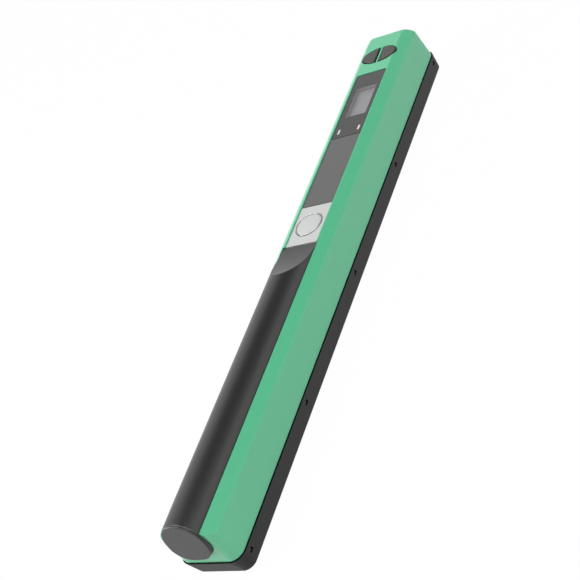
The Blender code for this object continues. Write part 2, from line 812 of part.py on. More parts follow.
# Control panel: silver plate, grey strip and dark display lens, flush with the top.
panel_z = top_z - panel_thickness
scan_plate = put("scan_plate", box(
    (panel_near, -panel_half, panel_z), (strip_near - gap, panel_half, top_z)), silver)
plate_hole = put("plate_hole", rod("Z", (button_x, 0.0, panel_z), ring_radius + gap, 4 * panel_thickness, 48))
cut(scan_plate, plate_hole)
put("panel_strip", box(
    (strip_near, -panel_half, panel_z), (lens_near - gap, panel_half, top_z)), panel_grey)
lens_outline = [(lens_near, -panel_half)]
lens_outline += arc(panel_far - lens_corner, lens_corner - panel_half, lens_corner, -math.pi / 2, 0.0, 4)
lens_outline += arc(panel_far - lens_corner, panel_half - lens_corner, lens_corner, 0.0, math.pi / 2, 4)
lens_outline += [(lens_near, panel_half)]
display_lens = put("display_lens", prism(lens_outline, "Z", panel_z, top_z), dark_window)
mark_holes = bmesh.new()
for middle in (-mark_y, mark_y):
    add_box(mark_holes,
            (marks_x - mark_length / 2 - gap, middle - mark_width / 2 - gap, panel_z - overrun),
            (marks_x + mark_length / 2 + gap, middle + mark_width / 2 + gap, top_z + overrun))
cut(display_lens, put("mark_holes", mark_holes))
light_low = board_top + gap
for name, middle in (("left_indicator", mark_y), ("right_indicator", -mark_y)):
    put(name, box(
        (marks_x - mark_length / 2, middle - mark_width / 2, light_low),
        (marks_x + mark_length / 2, middle + mark_width / 2, top_z)), white_diffuser)


def turned(name, profile, material, origin, steps=48):
    """Turn a profile round a vertical axis with a Screw modifier."""
    data = bpy.data.meshes.new(name)
    edges = [(index, (index + 1) % len(profile)) for index in range(len(profile))]
    data.from_pydata([(radius, 0.0, z) for radius, z in profile], edges, [])
    data.materials.append(material)
    made = bpy.data.objects.new(name, data)
    made.location = origin
    parts.objects.link(made)
    screw = made.modifiers.new("turn", "SCREW")
    screw.steps = steps
    screw.render_steps = steps
    screw.use_merge_vertices = True
    screw.merge_threshold = 0.0001
    screw.use_normal_calculate = True
    return made


# Trim ring, standing slightly proud of the plate, and the scan button inside it.
ring_inner = ring_radius - ring_width
ring_low = panel_z - bed_z
ring_high = top_z + ring_proud - bed_z
ring_mid = (ring_radius + ring_inner) / 2
ring_profile = [
    (ring_mid, ring_high), (ring_radius - ring_width / 6, ring_high - ring_width / 6),
    (ring_radius, ring_high - ring_width / 2), (ring_radius, ring_low),
    (ring_inner, ring_low), (ring_inner, ring_high - ring_width / 2),
    (ring_inner + ring_width / 6, ring_high - ring_width / 6)]
turned("button_ring", ring_profile, chrome, (button_x, 0.0, bed_z))

button_radius = ring_inner - gap
button_low = bed_z + gap + button_travel
button_high = button_low + button_thickness
scan_button = put("scan_button", rod(
    "Z", (button_x, 0.0, (button_low + button_high) / 2), button_radius, button_thickness, 48),
    silver, origin=(button_x, 0.0, top_z))
crown_rings = []
for step in range(5):
    turn = step * math.pi / 10
    reach = button_radius * math.cos(turn) if step else button_radius - gap / 2
    height = button_high + button_crown * math.sin(turn) - (0.0 if step else gap / 2)
    crown_rings.append([(button_x + reach * math.cos(spot), reach * math.sin(spot), height) for spot in
                        [index * math.pi / 24 for index in range(48)]])
crown = put("button_crown", loft(crown_rings))
stem_low = board_top + switch_height + 2 * gap + button_travel + gap
stem = put("button_stem", rod(
    "Z", (button_x, 0.0, (stem_low + button_low + gap) / 2), stem_radius, button_low + gap - stem_low, 24))
join(scan_button, crown, stem)

# Two keys, retained by flanges under the top wall.
for name, side in (("left_key", 1.0), ("right_key", -1.0)):
    flange_top = roof_z - gap
    key_origin = (keys_x, side * oval_half_length / 2, top_z)
    key = put(name, prism(half_oval(side, 0.0), "Z", flange_top - gap, top_z + key_proud),
              key_plastic, origin=key_origin)
    flange = put(name + "_flange", prism(
        half_oval(side, key_flange), "Z", flange_top - key_flange_thickness, flange_top))
    join(key, flange)

# Main board with its switches, display, sockets and pinhole pins.
main_board = put("main_board", box(
    (board_near, -board_half, board_low), (board_far, board_half, board_top)), board_green)
board_holes = bmesh.new()
for u, v in boss_places:
    add_rod(board_holes, "Z", (u, v, board_low), screw_radius + gap, 4 * board_thickness, 12)
cut(main_board, put("board_holes", board_holes))
for index, (u, v) in enumerate(boss_places):
    head_top = board_low - gap
    screw = put("board_screw_%d" % (index + 1), rod(
        "Z", (u, v, head_top - screw_head / 2), screw_head_radius, screw_head, 20), steel)
    shank = put("screw_shank_%d" % (index + 1), rod(
        "Z", (u, v, head_top + screw_length / 2 - gap), screw_radius, screw_length, 12))
    join(screw, shank)

flange_low = roof_z - gap - key_flange_thickness
for name, u, v, reach in (
        ("scan_switch", button_x, 0.0, stem_low - button_travel - gap),
        ("left_key_switch", keys_x, oval_half_length / 2, flange_low - key_travel - gap),
        ("right_key_switch", keys_x, -oval_half_length / 2, flange_low - key_travel - gap)):
    low = board_top + gap
    high = low + switch_height
    switch = put(name, box(
        (u - switch_half, v - switch_half, low), (u + switch_half, v + switch_half, high)), steel)
    if reach > high + gap / 2:
        plunger = put(name + "_plunger", rod(
            "Z", (u, v, (high - gap + reach) / 2), plunger_radius, reach - high + gap, 16))
        join(switch, plunger)

lcd_low = board_top + gap
lcd_high = roof_z - gap
put("lcd_module", box(
    (window_x - window_length / 2 - lcd_ledge, -window_half - lcd_lap, lcd_low),
    (window_x + window_length / 2 + lcd_ledge, window_half + lcd_lap, lcd_high)), lcd_glass)

port_mouth = side_face - port_setback
usb_port = put("usb_port", box(
    (port_at - port_width / 2, port_mouth - port_depth, port_top - port_height),
    (port_at + port_width / 2, port_mouth, port_top)), steel)
port_pocket = put("port_pocket", box(
    (port_at - port_width / 2 + port_wall, port_mouth - port_depth * 0.7, port_top - port_height + port_wall),
    (port_at + port_width / 2 - port_wall, port_mouth + overrun, port_top - port_wall)))
tongue_block = put("port_tongue", box(
    (port_at - port_width / 3, port_mouth - port_depth * 0.75, port_top - port_height * 0.6),
    (port_at + port_width / 3, port_mouth - port_setback, port_top - port_height * 0.35)))
cut(usb_port, port_pocket)
join(usb_port, tongue_block)

card_slot = put("card_slot", box(
    (slot_at - slot_width / 2, port_mouth - slot_depth, port_top - slot_height),
    (slot_at + slot_width / 2, port_mouth, port_top)), steel)
slot_mouth_low = port_top - (slot_height + slot_mouth_height) / 2
slot_floor = port_mouth - slot_depth + slot_mouth_height
card_mouth = put("card_mouth", box(
    (slot_at - slot_mouth_width / 2, slot_floor, slot_mouth_low),
    (slot_at + slot_mouth_width / 2, port_mouth + overrun, slot_mouth_low + slot_mouth_height)))
cut(card_slot, card_mouth)

wall_inside = follow(outer_profile, pin_z) - shell_wall
for index, name in enumerate(("format", "clock")):
    u = pin_at + pin_pitch * index
    collar_out = wall_inside - gap
    pin_root = collar_out - pin_collar
    pin = put(name + "_pin", rod(
        "Y", (u, collar_out - pin_collar / 2, pin_z), pin_collar_radius, pin_collar, 16),
        black_plastic, origin=(u, collar_out, pin_z))
    pin_rod = put(name + "_pin_rod", rod(
        "Y", (u, pin_root + gap + (pin_sink + pin_collar) / 2, pin_z), pin_radius, pin_sink + pin_collar, 12))
    join(pin, pin_rod)
    switch_face = pin_root - pin_travel - gap
    put(name + "_switch", box(
        (u - side_switch_half, switch_face - side_switch_depth, port_top - side_switch_height),
        (u + side_switch_half, switch_face, port_top)), steel)

# Contact image sensor along the middle of the tray.
sensor_half = sensor_width / 2
glass_top = paper_clearance + gap / 3 + glass_thickness
sensor_housing = put("sensor_housing", box(
    (sensor_near, -sensor_half, sensor_z), (sensor_far, sensor_half, sensor_top)), black_plastic)
channels = bmesh.new()
channel_near = sensor_near + glass_end - gap
channel_far = sensor_far - glass_end + gap
add_box(channels, (channel_near, -rod_width / 2 - gap, sensor_z - overrun),
        (channel_far, rod_width / 2 + gap, sensor_top + overrun))
guide_top = sensor_z + 2 * guide_radius + 2 * gap
add_box(channels, (channel_near, guide_offset - guide_radius - gap, sensor_z - overrun),
        (channel_far, guide_offset + guide_radius + gap, guide_top))
cut(sensor_housing, put("sensor_channels", channels))
put("sensor_glass", box(
    (base_mid - glass_length / 2, -glass_width / 2, paper_clearance + gap / 3),
    (base_mid + glass_length / 2, glass_width / 2, glass_top)), clear_glass)
put("rod_lens", box(
    (channel_near + gap, -rod_width / 2, sensor_top - rod_height),
    (channel_far - gap, rod_width / 2, sensor_top)), clear_glass)
put("light_guide", rod_x(
    channel_near + gap, channel_far - gap, guide_offset, sensor_z + guide_radius + gap, guide_radius, 20),
    white_diffuser)
put("sensor_board", box(
    (sensor_near, -sensor_board_width / 2, sensor_board_low),
    (sensor_far, sensor_board_width / 2, sensor_board_top)), board_green)

ribbon_low = sensor_board_top + gap + ribbon_thickness
ribbon_high = board_low - gap - ribbon_thickness
bend = (ribbon_high - ribbon_low) / 4
ribbon_path = [(ribbon_at - ribbon_reach, ribbon_low)]
ribbon_path += arc(ribbon_at, ribbon_low + bend, bend, -math.pi / 2, math.pi / 2, 8)
ribbon_path += arc(ribbon_at, ribbon_high - bend, bend, -math.pi / 2, -3 * math.pi / 2, 8)[1:]
ribbon_path += [(ribbon_at + ribbon_reach, ribbon_high)]
strip = bmesh.new()
rails = [[strip.verts.new((u, side * ribbon_width / 2, v)) for u, v in ribbon_path] for side in (-1.0, 1.0)]
for index in range(len(ribbon_path) - 1):
    strip.faces.new((rails[0][index], rails[0][index + 1], rails[1][index + 1], rails[1][index]))
sensor_ribbon = put("sensor_ribbon", strip, ribbon_film)
sheet = sensor_ribbon.modifiers.new("thickness", "SOLIDIFY")
sheet.thickness = ribbon_thickness
sheet.offset = 0.0

# Wheel carriers at both ends of the sensor, each with two wheels.
carrier_top = floor_z + gap + carrier_height
for name, start in (("near_carrier", near_carrier), ("far_carrier", far_carrier)):
    carrier = put(name, box(
        (start, -carrier_half, floor_z + gap), (start + carrier_length, carrier_half, carrier_top)),
        white_plastic)
    wells = bmesh.new()
    for side in (-1.0, 1.0):
        low, high = sorted((side * carrier_spine / 2, side * (carrier_half + overrun)))
        add_box(wells, (start + carrier_plate, low, floor_z - overrun),
                (start + carrier_length - carrier_plate, high, carrier_top + overrun))
    bores = bmesh.new()
    mid = start + carrier_length / 2
    add_rod(bores, "X", (mid, -wheel_y, wheel_radius), shaft_radius + gap, carrier_length + 2 * overrun, 20)
    add_rod(bores, "X", (mid, wheel_y, wheel_radius), axle_radius + gap, carrier_length + 2 * overrun, 20)
    cut(carrier, put(name + "_wells", wells), put(name + "_bores", bores))
    if start == far_carrier:
        cheek = put("encoder_cheek", box(
            (start, encoder_y - eye_width / 2, carrier_top - carrier_height / 2),
            (start + carrier_plate, encoder_y + eye_width / 2, encoder_z + eye_width / 2)))
        eye = put("encoder_eye", rod_x(
            start - overrun, start + carrier_plate + overrun, encoder_y, encoder_z, axle_radius + gap, 20))
        join(carrier, cheek)
        cut(carrier, eye)
    wheel_start = start + carrier_plate + gap
    wheel_name = name.replace("carrier", "")
    for kind, side, pin in (("roller", -1.0, shaft_radius), ("wheel", 1.0, axle_radius)):
        centre = (mid, side * wheel_y, wheel_radius)
        wheel = put(wheel_name + kind, rod("X", centre, wheel_radius, wheel_length, 32),
                    rubber, origin=centre)
        cut(wheel, put(wheel_name + kind + "_bore", rod(
            "X", centre, pin + gap, wheel_length + 2 * overrun, 20)))
    put(wheel_name + "axle", rod(
        "X", (mid, wheel_y, wheel_radius), axle_radius, carrier_length, 16), steel)

shaft_near = near_carrier - gap
shaft_far = far_carrier + carrier_length + gap
put("roller_shaft", rod("X", ((shaft_near + shaft_far) / 2, -wheel_y, wheel_radius),
                        shaft_radius, shaft_far - shaft_near, 16), steel,
    origin=((shaft_near + shaft_far) / 2, -wheel_y, wheel_radius))


def gear_outline(centre, teeth, phase):
    """Outline of a small spur gear with straight-sided teeth."""
    root_radius = tooth_module * (teeth / 2 - 1.2)
    tip_radius = tooth_module * (teeth / 2 + 0.85)
    step = 2 * math.pi / teeth
    points = []
    for index in range(teeth):
        middle = phase + index * step
        for share, radius in zip(tooth_shares, (root_radius, tip_radius, tip_radius, root_radius)):
            turn = middle + share * step
            points.append((centre[0] + radius * math.cos(turn), centre[1] + radius * math.sin(turn)))
    return points


drive_centre = (-wheel_y, wheel_radius)
drive_gear = put("drive_gear", prism(
    gear_outline(drive_centre, drive_teeth, mesh_angle), "X", gear_x, gear_x + gear_thickness),
    white_plastic, origin=(gear_x, *drive_centre))
cut(drive_gear, put("drive_gear_bore", rod_x(
    gear_x - overrun, gear_x + gear_thickness + overrun, *drive_centre, shaft_radius + gap, 20)))
encoder_centre = (encoder_y, encoder_z)
opposite = mesh_angle + math.pi + math.pi / encoder_teeth
encoder_gear = put("encoder_gear", prism(
    gear_outline(encoder_centre, encoder_teeth, opposite), "X", gear_x, gear_x + gear_thickness),
    white_plastic, origin=(gear_x, *encoder_centre))
disc_outline = []
disc_turn = 2 * math.pi / disc_slots
for index in range(disc_slots):
    for share, inset in ((-0.25, 0.0), (0.25, 0.0), (0.25, 2 * tooth_module), (0.75, 2 * tooth_module)):
        turn = (index + share) * disc_turn
        reach = disc_radius - inset
        disc_outline.append((encoder_y + reach * math.cos(turn), encoder_z + reach * math.sin(turn)))
encoder_disc = put("encoder_disc", prism(disc_outline, "X", disc_x, disc_x + disc_thickness),
                   dark_window, origin=(disc_x, *encoder_centre))
for target in (encoder_gear, encoder_disc):
    cut(target, put(target.name + "_bore", rod_x(
        gear_x - overrun, disc_x + disc_thickness + overrun, *encoder_centre, axle_radius + gap, 20)))
put("encoder_pin", rod_x(
    gear_x, far_carrier + carrier_plate, *encoder_centre, axle_radius, 16), steel)

# Light gate that straddles the slotted disc.
gate_low = encoder_z + disc_radius - gate_reach
encoder_gate = put("encoder_gate", box(
    (disc_x - gap - gate_leg, encoder_y - eye_width / 2, gate_low),
    (disc_x + disc_thickness + gap + gate_leg, encoder_y + eye_width / 2, board_low - gap)), black_plastic)
gate_slit = put("gate_slit", box(
    (disc_x - gap, encoder_y - eye_width, gate_low - overrun),
    (disc_x + disc_thickness + gap, encoder_y + eye_width, encoder_z + disc_radius + gap)))
cut(encoder_gate, gate_slit)
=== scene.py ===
"""Handheld document scanner: a green and black wand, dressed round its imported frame.

X runs along the wand from the grip to the display, Y across it and Z up. Lengths are in metres.
"""
import json
import math

import bmesh
import bpy
from mathutils import Matrix, Vector


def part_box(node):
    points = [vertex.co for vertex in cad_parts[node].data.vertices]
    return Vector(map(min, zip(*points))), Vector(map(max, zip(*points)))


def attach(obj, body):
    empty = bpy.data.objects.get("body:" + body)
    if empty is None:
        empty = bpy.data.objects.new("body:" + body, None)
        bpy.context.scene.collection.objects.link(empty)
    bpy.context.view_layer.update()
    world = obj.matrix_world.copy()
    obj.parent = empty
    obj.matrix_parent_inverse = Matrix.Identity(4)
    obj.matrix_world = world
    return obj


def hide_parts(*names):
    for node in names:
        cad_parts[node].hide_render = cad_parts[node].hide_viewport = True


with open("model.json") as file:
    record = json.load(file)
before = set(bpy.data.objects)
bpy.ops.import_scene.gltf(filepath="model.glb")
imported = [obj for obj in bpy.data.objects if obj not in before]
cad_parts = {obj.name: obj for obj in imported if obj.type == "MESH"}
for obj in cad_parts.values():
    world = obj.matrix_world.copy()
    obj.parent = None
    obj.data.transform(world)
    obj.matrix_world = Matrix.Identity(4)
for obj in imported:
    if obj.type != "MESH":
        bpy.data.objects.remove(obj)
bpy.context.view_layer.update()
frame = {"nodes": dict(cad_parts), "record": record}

nodes = frame["nodes"]

# Studio: a white sweep of floor, an even white surround that darkens overhead, and soft lamps.
# The camera stands at the grip's end, on the side of the long black and green walls.
scene = bpy.context.scene
scene.view_settings.view_transform = "Standard"
camera_data = bpy.data.cameras.new("camera")
camera_data.sensor_width = 36.0
camera_data.lens = 81.67


def put_in_scene(name, data):
    """A new object in the scene."""
    made = bpy.data.objects.new(name, data)
    scene.collection.objects.link(made)
    return made


camera = put_in_scene("camera", camera_data)
camera.location = (-0.30233, -0.29429, 0.28783)
camera.rotation_euler = [math.radians(turn) for turn in (49.5967, 32.5483, -68.5602)]
scene.camera = camera

lamp_size = 0.8
lamp_distance = 1.4
lamp_aim = Vector((0.0, 0.0, 0.012))


def lamp(name, bearing, height, watts):
    """A square soft box that faces the wand from a bearing and a height in degrees."""
    light = bpy.data.lights.new(name, "AREA")
    light.size = lamp_size
    light.energy = watts
    turn, rise = math.radians(bearing), math.radians(height)
    place = Vector((math.cos(turn) * math.cos(rise), math.sin(turn) * math.cos(rise), math.sin(rise)))
    holder = put_in_scene(name, light)
    holder.location = lamp_distance * place
    holder.rotation_euler = (lamp_aim - holder.location).to_track_quat("-Z", "Y").to_euler()


lamp("top_lamp", 120.0, 68.0, 9.2)
lamp("over_lamp", -120.0, 63.0, 7.2)
lamp("front_lamp", -105.0, 42.0, 2.0)
lamp("side_lamp", -75.0, 42.0, 1.2)
lamp("back_lamp", 120.0, 15.0, 10.5)

world = bpy.data.worlds.new("surround")
world.use_nodes = True
scene.world = world
sky = world.node_tree
sky.nodes.clear()


def link(tree, *pairs):
    """Join pairs of sockets, each given as (node, output, node, input)."""
    for source, output, target, entry in pairs:
        tree.links.new(source.outputs[output], target.inputs[entry])


def put(tree, kind, values=(), **settings):
    """Add a node by its short or full name, with its settings and the values of its inputs."""
    family = {"SHADER": "ShaderNode", "GEOMETRY": "GeometryNode"}[tree.type]
    node = tree.nodes.new(kind if "Node" in kind else family + kind)
    for name, value in settings.items():
        setattr(node, name, value)
    for entry, value in dict(values).items():
        node.inputs[entry].default_value = value
    return node


white = (1.0, 1.0, 1.0, 1.0)
dim_ceiling = (0.03, 0.03, 0.03, 1.0)
ceiling_lean = (0.0, -0.17, 0.985)
ceiling_edge = (0.63, 0.69)
sky_out = put(sky, "OutputWorld")
sky_light = put(sky, "Background", {"Color": white, "Strength": 0.08})
sky_gloss = put(sky, "Background", {"Strength": 1.0})
sky_seen = put(sky, "Background", {"Color": white, "Strength": 1.0})
sky_pick = put(sky, "MixShader")
sky_view = put(sky, "MixShader")
sky_ray = put(sky, "LightPath")
sky_place = put(sky, "TexCoord")
sky_height = put(sky, "VectorMath", {1: ceiling_lean}, operation="DOT_PRODUCT")
sky_ramp = put(sky, "ValToRGB")
for stop, spot, colour in zip(sky_ramp.color_ramp.elements, ceiling_edge, (white, dim_ceiling)):
    stop.position = spot
    stop.color = colour
sky_mirror = put(sky, "Math", operation="MAXIMUM")
link(sky,
     (sky_place, "Generated", sky_height, 0), (sky_height, "Value", sky_ramp, "Fac"),
     (sky_ramp, "Color", sky_gloss, "Color"),
     (sky_ray, "Is Glossy Ray", sky_mirror, 0), (sky_ray, "Is Transmission Ray", sky_mirror, 1),
     (sky_mirror, "Value", sky_pick, "Fac"), (sky_light, "Background", sky_pick, 1),
     (sky_gloss, "Background", sky_pick, 2), (sky_ray, "Is Camera Ray", sky_view, "Fac"),
     (sky_pick, "Shader", sky_view, 1), (sky_seen, "Background", sky_view, 2),
     (sky_view, "Shader", sky_out, "Surface"))

floor_radius = 6.0
floor_glow = 0.975
floor_data = bpy.data.meshes.new("floor")
floor_shape = bmesh.new()
bmesh.ops.create_circle(floor_shape, cap_ends=True, segments=96, radius=floor_radius)
floor_shape.to_mesh(floor_data)
floor_shape.free()
floor = put_in_scene("floor", floor_data)
paper = bpy.data.materials.new("white_floor")
paper.use_nodes = True
paper_tree = paper.node_tree
paper_tree.nodes.clear()
paper_out = put(paper_tree, "OutputMaterial")
paper_lit = put(paper_tree, "BsdfDiffuse", {"Color": (0.92, 0.92, 0.92, 1.0)})
paper_glow = put(paper_tree, "Emission", {"Strength": 1.0})
paper_mix = put(paper_tree, "MixShader")
paper_ray = put(paper_tree, "LightPath")
paper_seen = put(paper_tree, "Math", operation="MAXIMUM")
paper_share = put(paper_tree, "Math", {1: floor_glow}, operation="MULTIPLY")
link(paper_tree,
     (paper_ray, "Is Camera Ray", paper_seen, 0), (paper_ray, "Is Glossy Ray", paper_seen, 1),
     (paper_seen, "Value", paper_share, 0), (paper_share, "Value", paper_mix, "Fac"),
     (paper_lit, "BSDF", paper_mix, 1), (paper_glow, "Emission", paper_mix, 2),
     (paper_mix, "Shader", paper_out, "Surface"))
floor_data.materials.append(paper)

# Base tray: a shallow tub of black moulded plastic that closes the wand from below. It carries
# the sensor and the wheels, and the case snaps into five small windows in each long wall.
base_low, base_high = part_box("base_shell")
gap = 0.0003
overrun = 0.002
edge_round = 0.00012
tray_wall = 0.0015
tray_floor = base_low.z + tray_wall
tray_corner = 0.0052
tray_draft = 0.00115
tray_rake = 0.0019
tray_foot = 0.0005
tray_half = base_high.y
seam_z = base_high.z
rim_z = seam_z - 0.00025
tray_height = seam_z - base_low.z


def middle(name):
    """Middle of a solid's box."""
    low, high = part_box(name)
    return (low + high) / 2


def arc(u, v, radius, start, stop, steps):
    """Points along an arc, with both its ends."""
    return [(u + radius * math.cos(start + (stop - start) * step / steps),
             v + radius * math.sin(start + (stop - start) * step / steps))
            for step in range(steps + 1)]


corner_steps = 14


def plan_ring(near, far, half, z, near_corner, far_corner=None):
    """Level ring of a tray or a shell, with its own corner radius at each end if both are given."""
    far_corner = far_corner or near_corner
    points = []
    for turn, (end, way, side, radius) in enumerate((
            (far, -1.0, 1.0, far_corner), (near, 1.0, 1.0, near_corner),
            (near, 1.0, -1.0, near_corner), (far, -1.0, -1.0, far_corner))):
        points += arc(end + way * radius, side * (half - radius), radius,
                      turn * math.pi / 2, (turn + 1) * math.pi / 2, corner_steps)
    return [(u, v, z) for u, v in points]


def loft(rings):
    """Skin a closed body over rings that all have the same number of points."""
    shape = bmesh.new()
    loops = [[shape.verts.new(point) for point in ring] for ring in rings]
    count = len(loops[0])
    for lower, upper in zip(loops, loops[1:]):
        for index in range(count):
            after = (index + 1) % count
            shape.faces.new((lower[index], lower[after], upper[after], upper[index]))
    shape.faces.new(loops[0][::-1])
    shape.faces.new(loops[-1])
    return shape


def add_block(shape, low, high):
    """Add a box between two corners."""
    low, high = Vector(low), Vector(high)
    place = Matrix.Translation((low + high) / 2) @ Matrix.Diagonal((*(high - low), 1.0))
    bmesh.ops.create_cube(shape, size=1.0, matrix=place)


def block(low, high):
    """A box between two corners, as a shape of its own."""
    shape = bmesh.new()
    add_block(shape, low, high)
    return shape


turn_to = {
    "X": Matrix.Rotation(math.pi / 2, 4, "Y"),
    "Y": Matrix.Rotation(-math.pi / 2, 4, "X"),
    "Z": Matrix.Identity(4),
}


def add_rod(shape, axis, centre, radius, length, sides=48):
    """Add a cylinder whose middle is at the centre."""
    bmesh.ops.create_cone(
        shape, cap_ends=True, segments=sides, radius1=radius, radius2=radius, depth=length,
        matrix=Matrix.Translation(centre) @ turn_to[axis])


def prism(outline, axis, low, high):
    """Sweep a flat outline straight along an axis."""
    place = {"X": lambda u, v, w: (w, u, v), "Y": lambda u, v, w: (u, w, v),
             "Z": lambda u, v, w: (u, v, w)}[axis]
    return loft([[place(u, v, level) for u, v in outline] for level in (low, high)])


def merge(shape, other):
    """Add another shape to a shape."""
    copied = bpy.data.meshes.new("copied")
    other.to_mesh(copied)
    other.free()
    shape.from_mesh(copied)
    bpy.data.meshes.remove(copied)


def solid(name, shape):
    """Make an object of a shape, with its faces pointing out."""
    bmesh.ops.recalc_face_normals(shape, faces=shape.faces)
    data = bpy.data.meshes.new(name)
    shape.to_mesh(data)
    shape.free()
    return put_in_scene(name, data)


def settle(piece):
    """Apply the modifiers of a piece to its mesh."""
    bpy.context.view_layer.update()
    graph = bpy.context.evaluated_depsgraph_get()
    shaped = bpy.data.meshes.new_from_object(piece.evaluated_get(graph))
    old = piece.data
    piece.modifiers.clear()
    piece.data = shaped
    bpy.data.meshes.remove(old)


def drop(piece):
    """Remove a piece that was only a tool."""
    data = piece.data
    bpy.data.objects.remove(piece)
    bpy.data.meshes.remove(data)


def carve(piece, *tools, operation="DIFFERENCE"):
    """Cut shapes out of a piece, one after another, or join them to it."""
    cutters = [solid("tool", tool) for tool in tools]
    for cutter in cutters:
        step = piece.modifiers.new("carve", "BOOLEAN")
        step.operation = operation
        step.solver = "EXACT"
        step.object = cutter
    settle(piece)
    for cutter in cutters:
        drop(cutter)


def shade(piece, angle=35.0):
    """Shade a piece smoothly but for its sharp edges, and keep its large faces flat."""
    piece.data.shade_smooth()
    piece.data.set_sharp_from_angle(angle=math.radians(angle))
    level = piece.modifiers.new("level", "WEIGHTED_NORMAL")
    level.weight = 100
    level.keep_sharp = True
    settle(piece)


def soften(piece, width, angle=35.0):
    """Round the sharp edges of a piece and shade it smoothly."""
    bevel = piece.modifiers.new("edges", "BEVEL")
    bevel.width = width
    bevel.segments = 2
    bevel.limit_method = "ANGLE"
    bevel.angle_limit = math.radians(angle)
    settle(piece)
    shade(piece, angle)


def paint(piece, material):
    """Give a piece one material."""
    piece.data.materials.clear()
    piece.data.materials.append(material)


def fit(piece, body, slot, material, *replaced):
    """Put a finished piece on its body, in the place of the plain solids it stands for."""
    paint(piece, material)
    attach(piece, body)
    if replaced:
        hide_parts(*replaced)


def surface(name, values=()):
    """A new material, with its node tree and its shader."""
    made = bpy.data.materials.new(name)
    made.use_nodes = True
    shader = made.node_tree.nodes["Principled BSDF"]
    for entry, value in dict(values).items():
        shader.inputs[entry].default_value = value
    return made, made.node_tree, shader


def texture(tree, kind, values, stretch=None):
    """Add a texture that lies on a piece's own coordinates, drawn out by a scale if one is given."""
    place = put(tree, "TexCoord")
    marks = put(tree, "Tex" + kind, values)
    if stretch:
        drawn = put(tree, "Mapping", {"Scale": stretch})
        link(tree, (place, "Object", drawn, "Vector"), (drawn, "Vector", marks, "Vector"))
    else:
        link(tree, (place, "Object", marks, "Vector"))
    return marks


def tint(tree, shader, marks, dark, light):
    """Colour a surface between two colours, as a texture says."""
    tone = put(tree, "Mix", {"A": (*dark, 1.0), "B": (*light, 1.0)}, data_type="RGBA")
    link(tree, (marks, "Fac", tone, "Factor"), (tone, "Result", shader, "Base Color"))


def roughen(tree, shader, marks, low, high):
    """Vary the roughness of a surface between two values, as a texture says."""
    gloss = put(tree, "MapRange", {"To Min": low, "To Max": high})
    link(tree, (marks, "Fac", gloss, "Value"), (gloss, "Result", shader, "Roughness"))


def emboss(tree, shader, marks, strength, depth):
    """Raise a texture from a surface."""
    relief = put(tree, "Bump", {"Strength": strength, "Distance": depth})
    link(tree, (marks, "Fac", relief, "Height"), (relief, "Normal", shader, "Normal"))


def toned(colour, share):
    """A colour made darker or lighter by a share."""
    return [min(1.0, part * share) for part in colour]


def moulded(name, colour, roughness, mottle=0.05, grain=0.00016, depth=0.000006, spread=0.05,
            index=1.5, polish=0.0):
    """Moulded plastic: a colour with faint flow marks, a fine spark-eroded grain, a polished skin."""
    made, tree, shader = surface(name, {"IOR": index, "Coat Weight": polish, "Coat Roughness": 0.2})
    flow = texture(tree, "Noise", {"Scale": 45.0, "Detail": 3.0})
    pits = texture(tree, "Noise", {"Scale": 1.0 / grain, "Detail": 2.0})
    tint(tree, shader, flow, toned(colour, 1.0 - mottle), toned(colour, 1.0 + mottle))
    roughen(tree, shader, pits, roughness - spread, roughness + spread)
    emboss(tree, shader, pits, 0.35, depth)
    return made


black_plastic = moulded("black_plastic", (0.008, 0.008, 0.008), 0.52, mottle=0.1, index=1.36)
round_turns = (0.0, 0.4, 0.8, 1.2, math.pi / 2)
foot_levels = [(base_low.z + tray_foot * (1.0 - math.cos(turn)), tray_foot * (1.0 - math.sin(turn)))
               for turn in round_turns]
foot_levels += [(rim_z - edge_round, 0.0), (rim_z - edge_round * 0.3, edge_round * 0.3),
                (rim_z, edge_round)]
foot_rings = []
for z, rounding in foot_levels:
    fall = (seam_z - z) / tray_height
    inset = tray_draft * fall + rounding
    foot_rings.append(plan_ring(base_low.x + tray_rake * fall + rounding, base_high.x - rounding,
                                tray_half - inset, z, tray_corner - inset))
base = solid("base_tray", loft(foot_rings))
base_reach = (base_high.x - base_low.x) / 2
latch_shares = (-0.9469, -0.48, 0.0, 0.4588, 0.9508)
latch_places = [middle("base_shell").x + share * base_reach for share in latch_shares]
latch_width = 0.0021
latch_height = 0.0017
latch_drop = 0.00275
latch_z = seam_z - latch_drop
waist_z = latch_z - latch_height / 2 - gap
pocket_near = base_low.x + tray_rake + tray_wall
pocket = loft([
    plan_ring(pocket_near, base_high.x - tray_wall, tray_half - tray_wall - drawn, z,
              tray_corner - tray_wall)
    for z, drawn in ((tray_floor, tray_draft), (waist_z, 0.0), (seam_z + overrun, 0.0))])
rim_width = 0.0002
rim_step = 0.0008
rim_cut = loft([
    plan_ring(base_low.x + rim_width + tray_rake * (seam_z - z) / tray_height, base_high.x - rim_width,
              tray_half - rim_width - tray_draft * (seam_z - z) / tray_height, z,
              tray_corner - rim_width)
    for z in (seam_z - rim_step, seam_z + overrun)])
glass_low, glass_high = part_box("sensor_glass")
openings = block((glass_low.x - gap, glass_low.y - gap, base_low.z - overrun),
                 (glass_high.x + gap, glass_high.y + gap, tray_floor + overrun))
for name in ("near_roller", "far_roller", "near_wheel", "far_wheel"):
    low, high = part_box(name)
    wheel_radius = (high.z - low.z) / 2
    chord = math.sqrt(wheel_radius ** 2 - (wheel_radius - tray_floor) ** 2) + 2 * gap
    across = middle(name).y
    add_block(openings, (low.x - gap, across - chord, base_low.z - overrun),
              (high.x + gap, across + chord, tray_floor + overrun))
gear_low, gear_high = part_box("drive_gear")
add_block(openings, (gear_low.x - gap, gear_low.y - gap, base_low.z - overrun),
          (gear_high.x + gap, gear_high.y + gap, tray_floor + overrun))
windows = bmesh.new()
